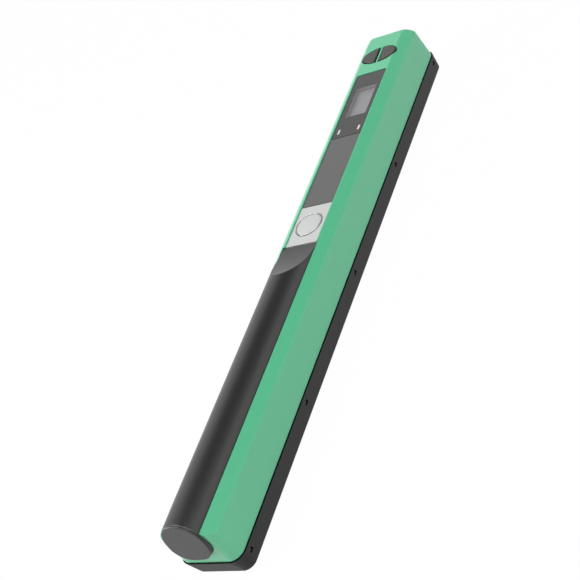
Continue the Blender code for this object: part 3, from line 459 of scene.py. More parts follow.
for place in latch_places:
    for side in (-1.0, 1.0):
        half = latch_width / 2
        sill = latch_z - latch_height / 2
        outline = [(place - half, sill), (place + half, sill)]
        outline += arc(place, latch_z + latch_height / 2 - half, half, 0.0, math.pi, 12)
        low, high = sorted((side * (tray_half - tray_wall - overrun / 4), side * (tray_half + overrun)))
        merge(windows, prism(outline, "Y", low, high))
carve(base, pocket, rim_cut, openings, windows)
shade(base, 30.0)
fit(base, "case", "black_base", black_plastic, "base_shell")

# Snap hooks: springy tongues that hang behind the tray's windows and hold the case down. Each
# ends in a rounded nose that shows in its window, and all ten are moulded alike.
hook_width = 0.00115
hook_height = 0.001
hook_depth = 0.0013
hook_sink = 0.0005


def group(name, **inputs):
    """A geometry node group with inputs of the given kinds, and the nodes at its two ends."""
    tree = bpy.data.node_groups.new(name, "GeometryNodeTree")
    tree.interface.new_socket(name="Geometry", in_out="OUTPUT", socket_type="NodeSocketGeometry")
    for entry, kind in {"Geometry": "Geometry", **inputs, "Material": "Material"}.items():
        tree.interface.new_socket(name=entry, in_out="INPUT", socket_type="NodeSocket" + kind)
    return tree, put(tree, "NodeGroupInput"), put(tree, "NodeGroupOutput")


def scatter(tree, start, end, pattern, output):
    """Put a pattern on the group's points, as real copies in the group's material."""
    copies = put(tree, "InstanceOnPoints")
    real = put(tree, "RealizeInstances")
    coat = put(tree, "SetMaterial")
    link(tree,
         (start, "Geometry", copies, "Points"), (pattern, output, copies, "Instance"),
         (copies, "Instances", real, "Geometry"), (real, "Geometry", coat, "Geometry"),
         (start, "Material", coat, "Material"), (coat, "Geometry", end, "Geometry"))


def grow(name, tree, points, material, **sizes):
    """Run a node group on loose points, with the values of its named inputs, and keep the mesh."""
    data = bpy.data.meshes.new(name)
    data.from_pydata(points, [], [])
    piece = put_in_scene(name, data)
    step = piece.modifiers.new("grow", "NODES")
    step.node_group = tree
    values = {"Material": material, **sizes}
    for entry in tree.interface.items_tree:
        if entry.in_out == "INPUT" and entry.name in values:
            step[entry.identifier] = values[entry.name]
    settle(piece)
    return piece


hook_plastic = moulded("hook_plastic", (0.05, 0.05, 0.052), 0.4, mottle=0.08)
hook_tree, hook_in, hook_out = group("snap_hooks", Width="Float", Height="Float", Depth="Float")
hook_size = put(hook_tree, "ShaderNodeCombineXYZ")
hook_block = put(hook_tree, "MeshCube")
hook_round = put(hook_tree, "SubdivisionSurface", {"Level": 3, "Edge Crease": 0.6})
link(hook_tree,
     (hook_in, "Width", hook_size, "X"), (hook_in, "Depth", hook_size, "Y"),
     (hook_in, "Height", hook_size, "Z"), (hook_size, "Vector", hook_block, "Size"),
     (hook_block, "Mesh", hook_round, "Mesh"))
scatter(hook_tree, hook_in, hook_out, hook_round, "Mesh")
hook_y = tray_half - tray_draft * latch_drop / tray_height - hook_sink - hook_depth / 2
hook_places = [(place, side * hook_y, latch_z) for place in latch_places for side in (-1.0, 1.0)]
hooks = grow("snap_hooks", hook_tree, hook_places, hook_plastic,
             Width=hook_width, Height=hook_height, Depth=hook_depth)
shade(hooks, 60.0)
fit(hooks, "case", "black_base", hook_plastic)

# Case: the tall green shell, moulded in one piece with leaning ends, chamfered shoulders, a slot
# for the grip, a sunk bed for the panel, two key holes and the openings for sockets and pins.
shell_low, shell_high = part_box("top_shell")
top_z = shell_high.z
shell_half = tray_half - 0.00055
shell_near = shell_low.x
shell_far = shell_high.x
shell_z = seam_z - 0.0001
shell_rise = top_z - shell_z
shoulder_half = shell_half - 0.0007
shoulder_z = top_z - 0.00307
flat_half = tray_half - 0.00565
near_lean = 0.0001
far_lean = 0.00246
shell_corner = 0.0047
near_corner = 0.0035
shoulder_round = 0.0013
flat_round = 0.0012
end_round = 0.0018
near_round = 0.00035
shell_wall = 0.0018
shell_roof = 0.002
roof_z = top_z - shell_roof
lip_drop = 0.0018


def fillet(before, corner, after, radius, steps):
    """Points of an arc that rounds one corner of an outline."""
    corner = Vector(corner)
    into = (corner - Vector(before)).normalized()
    out = (Vector(after) - corner).normalized()
    bend = into.angle(out)
    side = 1.0 if into.x * out.y - into.y * out.x > 0.0 else -1.0
    start = corner - into * radius * math.tan(bend / 2)
    centre = start + Vector((-into.y, into.x)) * side * radius
    arm = start - centre
    turns = [side * bend * step / steps for step in range(steps + 1)]
    return [(centre.x + arm.x * math.cos(turn) - arm.y * math.sin(turn),
             centre.y + arm.x * math.sin(turn) + arm.y * math.cos(turn)) for turn in turns]


def half_at(profile, z):
    """Half width of a profile of (half width, height) points at one height."""
    for (low_half, low_z), (high_half, high_z) in zip(profile, profile[1:]):
        if low_z <= z <= high_z:
            return low_half + (high_half - low_half) * (z - low_z) / (high_z - low_z)
    return profile[-1][0] if z > profile[-1][1] else profile[0][0]


def shell_ring(z, half, inset):
    """Ring of the shell at one height; its ends lean inwards and its corners tighten as it rises.

    The near corner in front stays an upright round above the shoulder, which the shoulder cuts off.
    """
    share = (z - shell_z) / shell_rise
    near_turn = shell_corner - (shell_corner - near_corner) * share - inset
    far_turn = shell_corner - (shell_corner - shoulder_round) * share - inset
    drawn = []
    for radius in (near_round, end_round):
        above = max(0.0, z - (top_z - radius))
        drawn.append(radius - math.sqrt(max(0.0, radius ** 2 - above ** 2)))
    near = shell_near + near_lean * share + inset + drawn[0]
    far = shell_far - far_lean * share - inset - drawn[1]
    ring = plan_ring(near, far, half, z, near_turn, max(far_turn, gap))
    wall = max(half, shoulder_half - inset)
    kept = math.asin(min(1.0, max(0.0, 1.0 - (wall - half) / near_turn)))
    corner = arc(near + near_turn, wall - near_turn, near_turn, math.pi - kept, math.pi, corner_steps)
    count = len(corner)
    ring[2 * count:3 * count] = [(u, -min(v, half), z) for u, v in reversed(corner)]
    return ring


profile = [(shell_half - edge_round, shell_z), (shell_half - edge_round / 3, shell_z + edge_round / 3),
           (shell_half, shell_z + edge_round)]
profile += fillet((shell_half, shell_z), (shoulder_half, shoulder_z), (flat_half, top_z),
                  shoulder_round, 8)
profile += fillet((shoulder_half, shoulder_z), (flat_half, top_z), (0.0, top_z), flat_round, 6)
end_levels = [top_z - radius * (1.0 - math.sin(step * math.pi / 24))
              for radius in (near_round, end_round) for step in range(13)]
band_levels = [shoulder_z + (top_z - shoulder_z) * step / 24 for step in range(3, 23)]
levels = sorted({round(z, 6) for z in [point[1] for point in profile] + end_levels + band_levels})
lip_inset = tray_wall + gap
shell_rings = [plan_ring(pocket_near + gap, base_high.x - lip_inset, tray_half - lip_inset, z,
                         tray_corner - lip_inset) for z in (shell_z - lip_drop, shell_z)]
shell_rings += [shell_ring(z, half_at(profile, z), max(0.0, edge_round - (z - shell_z)))
                for z in levels]
case_shape = loft(shell_rings)
weld = 0.0000002
bmesh.ops.remove_doubles(case_shape, verts=case_shape.verts, dist=weld)
case = solid("green_case", case_shape)

band_slope = (top_z - shoulder_z) / (shoulder_half - flat_half)
inner_shoulder_z = shoulder_z - shell_roof + shell_wall * band_slope
inner_levels = [shell_z - lip_drop - overrun, shell_z]
inner_levels += [inner_shoulder_z + (roof_z - inner_shoulder_z) * step / 12 for step in range(13)]
inner_profile = [(shell_half - shell_wall, shell_z), (shoulder_half - shell_wall, inner_shoulder_z),
                 (flat_half, roof_z)]
hollow = loft([shell_ring(z, half_at(inner_profile, z), shell_wall) for z in inner_levels])
bmesh.ops.remove_doubles(hollow, verts=hollow.verts, dist=weld)


def stacked(outline_at, steps):
    """A closed body over outlines drawn at (height, spare) steps."""
    return loft([[(u, v, z) for u, v in outline_at(spare)] for z, spare in steps])


flare_shares = ((1.0, 0.0), (0.6, 0.12), (0.25, 0.45), (0.0, 1.0))


def flared(outline_at, low, top, flare):
    """A cutter straight down from the surface, with a mouth that flares to soften its edge."""
    mouth_steps = [(top - flare * down, flare * out) for down, out in flare_shares]
    return stacked(outline_at, [(low, 0.0), *mouth_steps, (top + overrun, flare)])


cover_low, cover_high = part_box("battery_cover")
grip_radius = cover_high.y
axis_z = cover_high.z - grip_radius
grip_corner = 0.00695
grip_steps = 48
plate_low, plate_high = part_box("scan_plate")
lens_low, lens_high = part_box("display_lens")
panel_near = plate_low.x
panel_far = lens_high.x
panel_half = plate_high.y
panel_left = panel_half - 0.0004
panel_corner = 0.0012
bed_depth = 0.001
bed_z = top_z - bed_depth - gap
slot_half = grip_radius - 0.00064 + gap
near_face = shell_near + shell_wall
mouth = 0.00022


def grip_outline(spare):
    """Outline of the grip's end: round above, and a little squarer below."""
    corner = grip_corner + spare
    inset = grip_radius - grip_corner
    points = arc(0.0, axis_z, grip_radius + spare, 0.0, math.pi, 2 * grip_steps)
    points += arc(-inset, axis_z - inset, corner, math.pi, 3 * math.pi / 2, grip_steps)[1:]
    points += arc(inset, axis_z - inset, corner, 3 * math.pi / 2, 2 * math.pi, grip_steps)[:-1]
    return points


def slot_outline(spare):
    """Outline of the long slot that the grip lies in."""
    half = slot_half + spare
    start = near_face - overrun
    return [(start, -half), (panel_near, -half), (panel_near, half), (start, half)]


def bed_outline(spare):
    """Outline of the sunk bed, with two round corners at its far end."""
    right = panel_half + gap / 2 + spare
    left = panel_left + gap / 2 + spare
    far = panel_far + gap + spare
    corner = panel_corner + spare
    points = [(panel_near - overrun, -right)]
    points += arc(far - corner, corner - right, corner, -math.pi / 2, 0.0, 8)
    points += arc(far - corner, left - corner, corner, 0.0, math.pi / 2, 8)
    points += [(panel_near - overrun, left)]
    return points


keys_x = middle("left_key").x
oval_half_length = 0.00835
oval_half_width = 0.0047
oval_y = -0.00025
bar_y = -0.00055
oval_bar = 0.0018
oval_steps = 36
key_gap = 0.0005


def half_oval(side, spare, shy=0.0):
    """Outline of one key: half of an oval, whose straight side faces the green bar."""
    reach = oval_half_length + spare
    start = math.asin((oval_bar / 2 - spare + shy + side * (bar_y - oval_y)) / reach)
    turns = [start + (math.pi - 2 * start) * step / oval_steps for step in range(oval_steps + 1)]
    points = [(keys_x + (oval_half_width + spare) * math.cos(turn), oval_y + side * reach * math.sin(turn))
              for turn in turns]
    return points if side > 0.0 else points[::-1]


pin_hole_radius = 0.0008
stem_hole_radius = 0.0021
boss_radius = 0.0017
pilot_radius = 0.0008
window_low = (0.0732, -0.0056)
window_high = (0.0914, 0.0049)
light_low = (0.0633, -0.00045)
light_high = (0.0659, 0.00045)
light_places = {"left_indicator": 0.00465, "right_indicator": -0.0052}


def in_window(inset, low, high):
    """A block that fills the display window between two heights, drawn in on every side."""
    return block((window_low[0] + inset, window_low[1] + inset, low),
                 (window_high[0] - inset, window_high[1] - inset, high))


def in_slit(place, spare, low, high):
    """A block that fills an indicator's slit between two heights, grown on every side."""
    return block((light_low[0] - spare, place + light_low[1] - spare, low),
                 (light_high[0] + spare, place + light_high[1] + spare, high))


roof_openings = in_window(0.0, roof_z - overrun, top_z)
for place in light_places.values():
    merge(roof_openings, in_slit(place, gap, roof_z - overrun, top_z))
button_x = middle("button_ring").x
add_rod(roof_openings, "Z", (button_x, 0.0, roof_z), stem_hole_radius, shell_roof + overrun)
slot_low, slot_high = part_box("card_slot")
card_mouth = block((slot_low.x - gap, 0.0, slot_low.z - gap),
                   (slot_high.x + gap, tray_half + overrun, slot_high.z + gap))
port_waist = 0.0017
port_shoulder = 0.00085
port_round = 0.0005
port_low, port_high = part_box("usb_port")


def port_outline(spare):
    """Outline of the small socket's steel sleeve: a wide top and a narrower foot."""
    waist = port_low.z + port_waist
    foot_left, foot_right = port_low.x + port_shoulder, port_high.x - port_shoulder
    corners = [(port_low.x, port_high.z), (port_high.x, port_high.z), (port_high.x, waist),
               (foot_right, port_low.z), (foot_left, port_low.z), (port_low.x, waist)]
    points = []
    for index, corner in enumerate(corners):
        before = corners[index - 1]
        after = corners[(index + 1) % len(corners)]
        points += fillet(before, corner, after, port_round, 5)
    away = []
    for index, point in enumerate(points):
        run = Vector(points[(index + 1) % len(points)]) - Vector(points[index - 1])
        run.normalize()
        away.append((point[0] - run.y * spare, point[1] + run.x * spare))
    return away


port_cut = prism(port_outline(gap), "Y", 0.0, tray_half + overrun)
pin_holes = bmesh.new()
for name in ("format_pin", "clock_pin"):
    centre = middle(name)
    add_rod(pin_holes, "Y", (centre.x, shell_half, centre.z), pin_hole_radius,
            2 * shell_wall + overrun, 24)
boss_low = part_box("main_board")[1].z + gap
bosses = bmesh.new()
pilots = bmesh.new()
for index in (1, 2, 3, 4):
    across = middle("board_screw_%d" % index).xy
    add_rod(bosses, "Z", (*across, (boss_low + roof_z + gap) / 2), boss_radius,
            roof_z + gap - boss_low, 32)
    add_rod(pilots, "Z", (*across, boss_low), pilot_radius, 2 * (roof_z - boss_low) - shell_roof, 16)
notch = prism(grip_outline(gap / 3), "X", shell_near - overrun, near_face + overrun)
key_mouths = [flared(lambda spare, side=side: half_oval(side, key_gap + spare),
                     roof_z - overrun, top_z, mouth / 2) for side in (1.0, -1.0)]
carve(case, hollow, flared(slot_outline, axis_z, top_z, mouth), notch,
      flared(bed_outline, bed_z, top_z, mouth), *key_mouths,
      roof_openings, card_mouth, port_cut, pin_holes)
carve(case, bosses, operation="UNION")
carve(case, pilots)
shade(case, 28.0)
green_plastic = moulded("green_plastic", (0.102, 0.56, 0.298), 0.42, mottle=0.025, polish=0.55)
fit(case, "case", "green_case", green_plastic, "top_shell")

# Grip: the black battery cover, a thin round shell with a thumb ramp scooped out of its far end.
# A fine groove parts its leaning end disc from the tube. It slides off along the wand.
far_x = cover_high.x
near_x = cover_low.x
grip_lean = 0.105
disc_edge = 0.0004
disc_shy = 0.00022
groove_width = 0.00024
groove_depth = 0.0008
body_shy = 0.00025
lip_length = 0.00005
lip_shy = 0.00006
fade_length = 0.0005
body_start = 0.0009
cover_half = slot_half - gap
stub_inner = shell_near + near_lean + gap
ramp_length = 0.0198 - gap
ramp_skin = 0.0008
ramp_foot = top_z - 0.0005
ramp_top = axis_z + grip_radius
rise_angle = math.radians(27.0)
chord_angle = math.atan2(ramp_top - ramp_foot, ramp_length)
foot_angle = 2 * chord_angle - rise_angle
ramp_radius = math.hypot(ramp_top - ramp_foot, ramp_length) / (2 * math.sin(rise_angle - chord_angle))
ramp_centre = (far_x + ramp_radius * math.sin(foot_angle),
               ramp_foot + ramp_radius * math.cos(foot_angle))
disc_near = near_x + grip_radius * grip_lean
groove_lead = 0.00003
groove_start = disc_edge + groove_lead
groove_stop = groove_start + groove_width
end_steps = [(disc_edge * (1.0 - math.cos(turn)), disc_shy + disc_edge * (1.0 - math.sin(turn)))
             for turn in (0.0, 0.3, 0.6, 0.9, 1.2, math.pi / 2)]
end_steps += [(groove_start, disc_shy), (groove_start + groove_lead, groove_depth),
              (groove_stop - groove_lead, groove_depth), (groove_stop, body_shy + lip_shy),
              (groove_stop + lip_length, body_shy), (groove_stop + fade_length, body_shy / 3)]
cover_rings = [[(disc_near + back + grip_lean * (z - axis_z), y, z) for y, z in grip_outline(-drawn)]
               for back, drawn in end_steps]
body_stations = 15
body_back = disc_near + groove_stop + body_start
for step in range(1, body_stations + 1):
    along = step / body_stations
    cover_rings.append([((body_back + grip_lean * (z - axis_z)) * (1.0 - along) + far_x * along, y, z)
                        for y, z in grip_outline(0.0)])
grip = solid("grip_cover", loft(cover_rings))


def ramp_outline(lower):
    """Outline of what lies above the scoop; lower shifts it down by a skin's thickness."""
    points = arc(*ramp_centre, ramp_radius + lower,
                 -math.pi / 2 - foot_angle, -math.pi / 2 - rise_angle, 40)
    last_u, last_v = points[-1]
    return points + [
        (last_u - overrun, last_v + overrun), (last_u - overrun, ramp_top + overrun),
        (far_x + overrun, ramp_top + overrun), (far_x + overrun, points[0][1])]


wide = grip_radius + overrun
trims = bmesh.new()
for side in (-1.0, 1.0):
    low, high = sorted((side * cover_half, side * wide))
    add_block(trims, (stub_inner, low, axis_z - grip_radius), (far_x + overrun, high, top_z + overrun))
foot = block((stub_inner, -wide, axis_z - wide), (far_x + overrun, wide, axis_z))
bore_radius = grip_radius - 0.00134
bore_start = disc_near + 0.0017
bore_stop = far_x - 0.0008
bore = bmesh.new()
add_rod(bore, "X", ((bore_start + bore_stop) / 2, 0.0, axis_z), bore_radius, bore_stop - bore_start, 96)
bore_piece = solid("grip_bore", bore)
carve(bore_piece, prism(ramp_outline(ramp_skin), "Y", -wide, wide))
bore = bmesh.new()
bore.from_mesh(bore_piece.data)
drop(bore_piece)
carve(grip, trims, foot, prism(ramp_outline(0.0), "Y", -wide, wide), bore)
shade(grip, 24.0)
grip_plastic = moulded("grip_plastic", (0.012, 0.012, 0.0125), 0.36, mottle=0.1, grain=0.00022,
                       depth=0.00001, index=1.66)
fit(grip, "grip_cover", "grip_black", grip_plastic, "battery_cover")

# Control panel: a silver lacquered plate, a grey strip and a smoked lens, laid in the bed a little
# below its rim. The lens is dark but for a clear window over the display and two slits for lights.
panel_sink = 0.0004
panel_top = top_z - panel_sink
silver_lacquer = moulded("silver_lacquer", (0.62, 0.63, 0.62), 0.38, mottle=0.03, grain=0.00006,
                         depth=0.000003)
panel_edge = 0.00045
plate_round = 0.00006
fine_round = 0.00005
plate_near = 0.0011
strip_near = 0.022
strip_far = 0.0606
side_profile = [(-panel_half, plate_low.z)]
side_profile += arc(panel_edge - panel_half, panel_top - panel_edge, panel_edge, math.pi, math.pi / 2, 6)
side_profile += [(panel_left, panel_top), (panel_left, plate_low.z)]
plate = solid("silver_plate", prism(side_profile, "X", plate_near, strip_near - gap))
ring_radius = 0.00588
ring_seat = 0.00612
ring_x = button_x + 0.0003
plate_hole = bmesh.new()
add_rod(plate_hole, "Z", (ring_x, 0.0, plate_low.z), ring_seat, 2 * overrun, 96)
carve(plate, plate_hole)
soften(plate, plate_round)
fit(plate, "case", "silver_plate", silver_lacquer, "scan_plate")

strip_plastic = moulded("strip_plastic", (0.1, 0.104, 0.1), 0.32, mottle=0.04, depth=0.000002)
strip = solid("grey_strip", prism(side_profile, "X", strip_near, strip_far))
soften(strip, fine_round)
fit(strip, "case", "panel_grey", strip_plastic, "panel_strip")

smoked_plastic = moulded("smoked_plastic", (0.035, 0.034, 0.035), 0.26, mottle=0.04, depth=0.0000015)
lens = solid("display_frame", prism(side_profile, "X", strip_far + gap, panel_far))
corner_cuts = []
for side, edge in ((-1.0, -panel_half), (1.0, panel_left)):
    start, inner = panel_far - panel_corner, edge - side * panel_corner
    cut = [(start, edge + side * overrun), (panel_far + overrun, edge + side * overrun),
           (panel_far + overrun, inner)]
    cut += arc(start, inner, panel_corner, 0.0, side * math.pi / 2, 8)
    corner_cuts.append(prism(cut, "Z", lens_low.z - overrun, lens_high.z + overrun))
lens_holes = in_window(0.0, lens_low.z - overrun, lens_high.z + overrun)
for place in light_places.values():
    merge(lens_holes, in_slit(place, gap / 4, lens_low.z - overrun, lens_high.z + overrun))
carve(lens, lens_holes, *corner_cuts)
soften(lens, fine_round)
fit(lens, "case", "dark_window", smoked_plastic, "display_lens")


def clear(name, colour, cover, scale, low, high):
    """Clear plastic or glass: mostly see-through, with a faint haze in its gloss."""
    made, tree, shader = surface(name, {"Base Color": (*colour, 1.0), "Alpha": cover})
    roughen(tree, shader, texture(tree, "Noise", {"Scale": scale}), low, high)
    return made


pane_depth = 0.0003
pane = solid("display_pane", in_window(gap / 20, panel_top - pane_depth, panel_top))
clear_acrylic = clear("clear_acrylic", (0.6, 0.6, 0.61), 0.12, 400.0, 0.16, 0.24)
fit(pane, "case", "dark_window", clear_acrylic)

# Display: a reflective liquid crystal glass on its module, seen through a soft grey gasket that
# lines the window from the lens down to the glass.
lcd_ink = moulded("lcd_glass", (0.27, 0.27, 0.29), 0.3, mottle=0.02, depth=0.000001)
glass_step = 0.0004
soft_round = 0.0001
lcd_low, lcd_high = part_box("lcd_module")
lcd = solid("display_module", block(lcd_low, (lcd_high.x, lcd_high.y, lcd_high.z - glass_step)))
soften(lcd, soft_round)
module_metal = moulded("module_frame", (0.25, 0.25, 0.26), 0.35)
fit(lcd, "case", "lcd_glass", module_metal, "lcd_module")
inlay = solid("display_glass", block((lcd_low.x + gap, lcd_low.y + gap, lcd_high.z - glass_step),
                                     (lcd_high.x - gap, lcd_high.y - gap, lcd_high.z)))
soften(inlay, fine_round)
fit(inlay, "case", "lcd_glass", lcd_ink)

gasket_wall = 0.0004
gasket_gap = gap / 10
gasket_foam = moulded("gasket_foam", (0.17, 0.168, 0.17), 0.7, mottle=0.05)
gasket = solid("display_gasket", in_window(
    gasket_gap, lcd_high.z + gasket_gap, panel_top - pane_depth - gasket_gap))
carve(gasket, in_window(gasket_wall, lcd_high.z - overrun, lens_high.z + overrun))
shade(gasket)
fit(gasket, "case", "dark_window", gasket_foam)

milk_plastic = moulded("milk_plastic", (0.85, 0.85, 0.85), 0.35, mottle=0.02)
for name, place in light_places.items():
    light_guide = solid(name + "_guide", in_slit(place, 0.0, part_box(name)[0].z, panel_top + gap / 6))
    soften(light_guide, soft_round)
    fit(light_guide, "case", "white_diffuser", milk_plastic, name)

# Scan button: a domed silver disc in a polished trim ring that stands a little proud. The ring is
# pressed into the plate, and the disc's stem goes down through the case to its switch.
ring_width = 0.0003
ring_inner = ring_radius - ring_width
ring_top = panel_top + 0.0003


def metal(name, colour, roughness, scratch=(40.0, 900.0, 900.0), spread=0.05):
    """Bare or plated metal, with faint marks drawn out along the wand."""
    made, tree, shader = surface(name, {"Metallic": 1.0})
    marks = texture(tree, "Noise", {"Scale": 1.0, "Detail": 4.0}, scratch)
    tint(tree, shader, marks, toned(colour, 0.92), toned(colour, 1.06))
    roughen(tree, shader, marks, max(0.02, roughness - spread), roughness + spread)
    emboss(tree, shader, marks, 0.2, 0.000004)
    return made


chrome = metal("chrome", (0.55, 0.55, 0.56), 0.07, scratch=(300.0, 300.0, 300.0), spread=0.03)


def turned(outline, centre, sides=144):
    """Turn a closed profile of (radius, height) points round a vertical axis."""
    shape = bmesh.new()
    loops = [[shape.verts.new((*spot, z)) for spot in arc(*centre, radius, 0.0, 2 * math.pi, sides)[:-1]]
             for radius, z in outline]
    for first, second in zip(loops, loops[1:] + loops[:1]):
        for index in range(sides):
            after = (index + 1) % sides
            shape.faces.new((first[index], first[after], second[after], second[index]))
    return shape


ring_mid = (ring_radius + ring_inner) / 2
ring_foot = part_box("button_ring")[0].z
ring_profile = [(ring_radius, ring_foot), (ring_inner, ring_foot)]
ring_profile += arc(ring_mid, ring_top - ring_width / 2, ring_width / 2, math.pi, 0.0, 12)
trim = solid("trim_ring", turned(ring_profile, (ring_x, 0.0)))
shade(trim, 40.0)
fit(trim, "case", "chrome_trim", chrome, "button_ring")

stem_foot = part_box("scan_button")[0].z
button_radius = ring_inner - gap / 3
stem_radius = 0.0018
stem_tip_share = 0.8
stem_taper = 0.0003
button_rim = panel_top + 0.0001
button_back = button_rim - 0.0004
button_edge = 0.0001
button_rise = 0.0003
button_sides = 112
rim_rounding = ((0.00016, 0.0), (0.00006, 0.00004), (0.0, 0.00014))
dome = [(stem_foot, stem_radius * stem_tip_share), (stem_foot + stem_taper, stem_radius),
        (button_back, stem_radius), (button_back, button_radius - button_edge),
        (button_back + button_edge, button_radius)]
dome += [(button_rim - down, button_radius - drawn) for down, drawn in rim_rounding]
dome += [(button_rim + button_rise * math.sin(turn), button_radius * math.cos(turn))
         for turn in (0.3, 0.5, 0.75, 1.0, 1.2, 1.35, 1.5)]
push = solid("scan_push", stacked(
    lambda radius: arc(ring_x, 0.0, radius, 0.0, 2 * math.pi, button_sides)[:-1], dome))
shade(push, 40.0)
fit(push, "scan_button", "silver_plate", silver_lacquer, "scan_button")

# Keys: two halves of an oval in dark grey plastic, which stand just above the green top and are
# held down by flanges under it. Their top edges are rounded.
key_plastic = moulded("key_plastic", (0.045, 0.042, 0.043), 0.36, mottle=0.06)
key_round = 0.00035
key_slim = 0.0001
flange_reach = 0.0005
flange_top = roof_z - gap
for name, side, shy in (("left_key", 1.0, 0.0003), ("right_key", -1.0, 0.0)):
    low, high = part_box(name)
    key_levels = [(low.z + key_slim, 0.0), (high.z - key_round, 0.0)]
    key_levels += [(high.z - key_round * (1.0 - math.sin(turn)), key_round * (1.0 - math.cos(turn)))
                   for turn in round_turns[1:]]
    key = solid(name + "_cap", stacked(
        lambda spare: half_oval(side, -spare - key_slim, shy), key_levels))
    flange = prism(half_oval(side, flange_reach), "Z", flange_top - flange_reach, flange_top)
    carve(key, flange, operation="UNION")
    shade(key, 30.0)
    fit(key, name, "key_dark", key_plastic, name)

# Power: two plain cells in line in a black cradle, pressed by a coil spring at the grip's end.
# Their printed jackets are dark, with a pale band at the raised pole.
bare_can = (0.55, 0.55, 0.56, 1.0)
jacket_bands = ((0.7, (0.5, 0.36, 0.12, 1.0)), (0.715, (0.62, 0.63, 0.66, 1.0)), (0.965, bare_can))


def jacket(name, start, length):
    """Printed steel jacket: dark, with a pale band and a bare pole towards the far end."""
    made, tree, shader = surface(name, {"Metallic": 0.35})
    place = put(tree, "TexCoord")
    split = put(tree, "SeparateXYZ")
    along = put(tree, "MapRange", {"From Min": start, "From Max": start + length})
    print_ramp = put(tree, "ValToRGB")
    bands = print_ramp.color_ramp
    bands.interpolation = "CONSTANT"
    bands.elements[0].color = bare_can
    bands.elements[1].position = 0.02
    bands.elements[1].color = (0.05, 0.06, 0.09, 1.0)
    for spot, colour in jacket_bands:
        bands.elements.new(spot).color = colour
    link(tree,
         (place, "Object", split, "Vector"), (split, "X", along, "Value"),
         (along, "Result", print_ramp, "Fac"), (print_ramp, "Color", shader, "Base Color"))
    wear = texture(tree, "Noise", {"Scale": 250.0})
    roughen(tree, shader, wear, 0.2, 0.36)
    emboss(tree, shader, wear, 0.15, 0.00001)
    return made


for name in ("near_cell", "far_cell"):
    low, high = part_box(name)
    paint(nodes[name], jacket(name + "_jacket", low.x, high.x - low.x))

# Wheels: black rubber tyres with fine ribs across their tread, pressed on white hubs. The two on
# one side drive the shaft that counts the travel, and the other two run free on short axles.
rubber = moulded("wheel_rubber", (0.02, 0.02, 0.022), 0.72, mottle=0.15, grain=0.0003,
                 depth=0.00002)
acetal = moulded("white_acetal", (0.68, 0.68, 0.66), 0.42, mottle=0.02)
rib_count = 40
rib_proud = 0.00014
rib_seat_share = 0.7
rib_radius_share = 0.65
tread_edge = 0.0003
hub_wall = 0.0009
hub_edge = gap / 3
shaft_radius = 0.0009
axle_radius = 0.0008
tread_tree, tread_in, tread_out = group("tyre_ribs", Radius="Float", Length="Float", Rib="Float",
                                        Count="Int")
tread_circle = put(tread_tree, "MeshCircle", fill_type="NONE")
tread_bar = put(tread_tree, "MeshCylinder", {"Vertices": 8})
tread_set = put(tread_tree, "InstanceOnPoints")
tread_turn = put(tread_tree, "Transform", {"Rotation": (0.0, math.pi / 2, 0.0)})
link(tread_tree,
     (tread_in, "Count", tread_circle, "Vertices"), (tread_in, "Radius", tread_circle, "Radius"),
     (tread_in, "Rib", tread_bar, "Radius"), (tread_in, "Length", tread_bar, "Depth"),
     (tread_circle, "Mesh", tread_set, "Points"), (tread_bar, "Mesh", tread_set, "Instance"),
     (tread_set, "Instances", tread_turn, "Geometry"))
scatter(tread_tree, tread_in, tread_out, tread_turn, "Geometry")


def on_axle(name, outline, centre, sides):
    """Turn a profile of (radius, distance) points round a wheel's own axle."""
    shape = turned(outline, (0.0, 0.0), sides)
    place = Matrix.Translation(centre) @ turn_to["X"]
    bmesh.ops.transform(shape, matrix=place, verts=shape.verts)
    return solid(name, shape)


for name, body in (("near_roller", "drive"), ("far_roller", "drive"),
                   ("near_wheel", "near_wheel"), ("far_wheel", "far_wheel")):
    low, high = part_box(name)
    centre = middle(name)
    tyre_radius = (high.z - low.z) / 2 - rib_proud * rib_seat_share
    pin_radius = shaft_radius if body == "drive" else axle_radius
    hub_radius = pin_radius + gap + hub_wall
    tread_half = (high.x - low.x) / 2
    tyre = on_axle(name + "_tyre", [
        (hub_radius, -tread_half + tread_edge), (hub_radius, tread_half - tread_edge),
        (tyre_radius - tread_edge, tread_half), (tyre_radius, tread_half - tread_edge),
        (tyre_radius, -tread_half + tread_edge), (tyre_radius - tread_edge, -tread_half)], centre, 96)
    ribs = grow(name + "_ribs", tread_tree, [tuple(centre)], rubber, Radius=tyre_radius,
                Length=2 * (tread_half - tread_edge), Rib=rib_proud * rib_radius_share,
                Count=rib_count)
    shade(tyre, 30.0)
    shade(ribs, 60.0)
    fit(tyre, body, "wheel_rubber", rubber, name)
    fit(ribs, body, "wheel_rubber", rubber)
    rim_radius = hub_radius - hub_edge / 2
    hub = on_axle(name + "_hub", [
        (pin_radius + gap, -tread_half), (pin_radius + gap, tread_half),
        (hub_radius - hub_edge, tread_half), (rim_radius, tread_half - hub_edge),
        (rim_radius, hub_edge - tread_half), (hub_radius - hub_edge, -tread_half)], centre, 64)
    shade(hub, 40.0)
    fit(hub, body, "white_plastic", acetal)

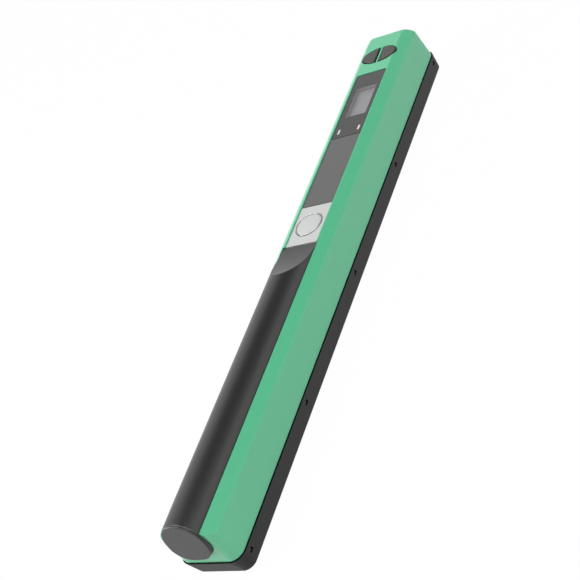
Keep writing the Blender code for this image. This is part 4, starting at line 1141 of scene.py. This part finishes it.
# Socket and card slot: drawn steel parts behind the far wall. The socket's sleeve holds a black
# tongue with five gilt contacts.
steel = metal("steel", (0.56, 0.56, 0.57), 0.24)
sleeve_wall = 0.0003
sleeve_back = 0.0025
sleeve = solid("socket_sleeve", prism(port_outline(0.0), "Y", port_low.y, port_high.y))
carve(sleeve, prism(port_outline(-sleeve_wall), "Y", port_low.y + sleeve_back, port_high.y + overrun))
soften(sleeve, fine_round, 50.0)
fit(sleeve, "case", "steel", steel, "usb_port")
port_mid = middle("usb_port").x
tongue_shares = (0.42, 0.64)
tongue_low, tongue_high = [port_low.z + (port_high.z - port_low.z) * share for share in tongue_shares]
tongue_half = (port_high.x - port_low.x) / 3
tongue_mouth = port_high.y - 0.0006
tongue_root = port_low.y + sleeve_back - gap / 3
tongue = solid("socket_tongue", block((port_mid - tongue_half, tongue_root, tongue_low),
                                      (port_mid + tongue_half, tongue_mouth, tongue_high)))
soften(tongue, edge_round)
fit(tongue, "case", "black_base", black_plastic)

gilt = metal("gilt", (0.83, 0.62, 0.27), 0.22)
contact_pitch = 0.0008
contact_run = 0.004
contact_tree, contact_in, contact_out = group("socket_contacts", Size="Vector")
contact_bar = put(contact_tree, "MeshCube")
link(contact_tree, (contact_in, "Size", contact_bar, "Size"))
scatter(contact_tree, contact_in, contact_out, contact_bar, "Mesh")
contact_places = [(port_mid + step * contact_pitch, tongue_mouth - contact_run / 2 - gap, tongue_low)
                  for step in (-2, -1, 0, 1, 2)]
contacts = grow("socket_contacts", contact_tree, contact_places, gilt,
                Size=(contact_pitch / 2, contact_run, gap / 2))
shade(contacts)
fit(contacts, "case", "steel", gilt)

# Circuit boards: green lacquer over copper tracks, drawn by a brick pattern whose lines stand up
# a little. The sensor's board is made the same way.
board_lacquer, board_tree, board_shader = surface("board_lacquer")
board_tracks = texture(board_tree, "Brick", {
    "Scale": 220.0, "Mortar Size": 0.03, "Color1": (0.012, 0.09, 0.035, 1.0),
    "Color2": (0.018, 0.115, 0.045, 1.0), "Mortar": (0.04, 0.2, 0.075, 1.0)})
link(board_tree, (board_tracks, "Color", board_shader, "Base Color"))
roughen(board_tree, board_shader, texture(board_tree, "Noise", {"Scale": 500.0}), 0.28, 0.45)
emboss(board_tree, board_shader, board_tracks, 0.3, 0.00003)

# Sensor: a black bar with a clear glass over a row of rod lenses and a milky light guide. The
# glass is what the page slides under, so it lies flush with the tray's underside.
sensor_glass = clear("sensor_cover", (0.42, 0.47, 0.46), 0.22, 90.0, 0.03, 0.12)
rod_glass, rod_tree, rod_shader = surface("rod_lenses", {"Roughness": 0.12})
rod_rows = texture(rod_tree, "Wave", {"Scale": 350.0})
tint(rod_tree, rod_shader, rod_rows, (0.05, 0.055, 0.06), (0.45, 0.5, 0.5))
emboss(rod_tree, rod_shader, rod_rows, 0.5, 0.00008)

# Inner pieces whose solids are already true to shape: contacts, screws, switches, pins, carriers,
# shaft, gears, slotted disc, light gate, sensor parts, boards and the flat ribbon.
ribbon = moulded("ribbon_film", (0.7, 0.69, 0.64), 0.35, mottle=0.06)
finishes = {
    "steel": steel, "board_green": board_lacquer, "ribbon_film": ribbon, "white_plastic": acetal,
    "white_diffuser": milk_plastic, "key_dark": key_plastic, "black_base": black_plastic,
    "dark_window": smoked_plastic, "sensor_glass": sensor_glass}
slots = {part["node"]: part["material_slot"] for part in frame["record"]["subparts"]}
for name, node in nodes.items():
    if not node.hide_render and slots[name] in finishes:
        paint(node, rod_glass if name == "rod_lens" else finishes[slots[name]])
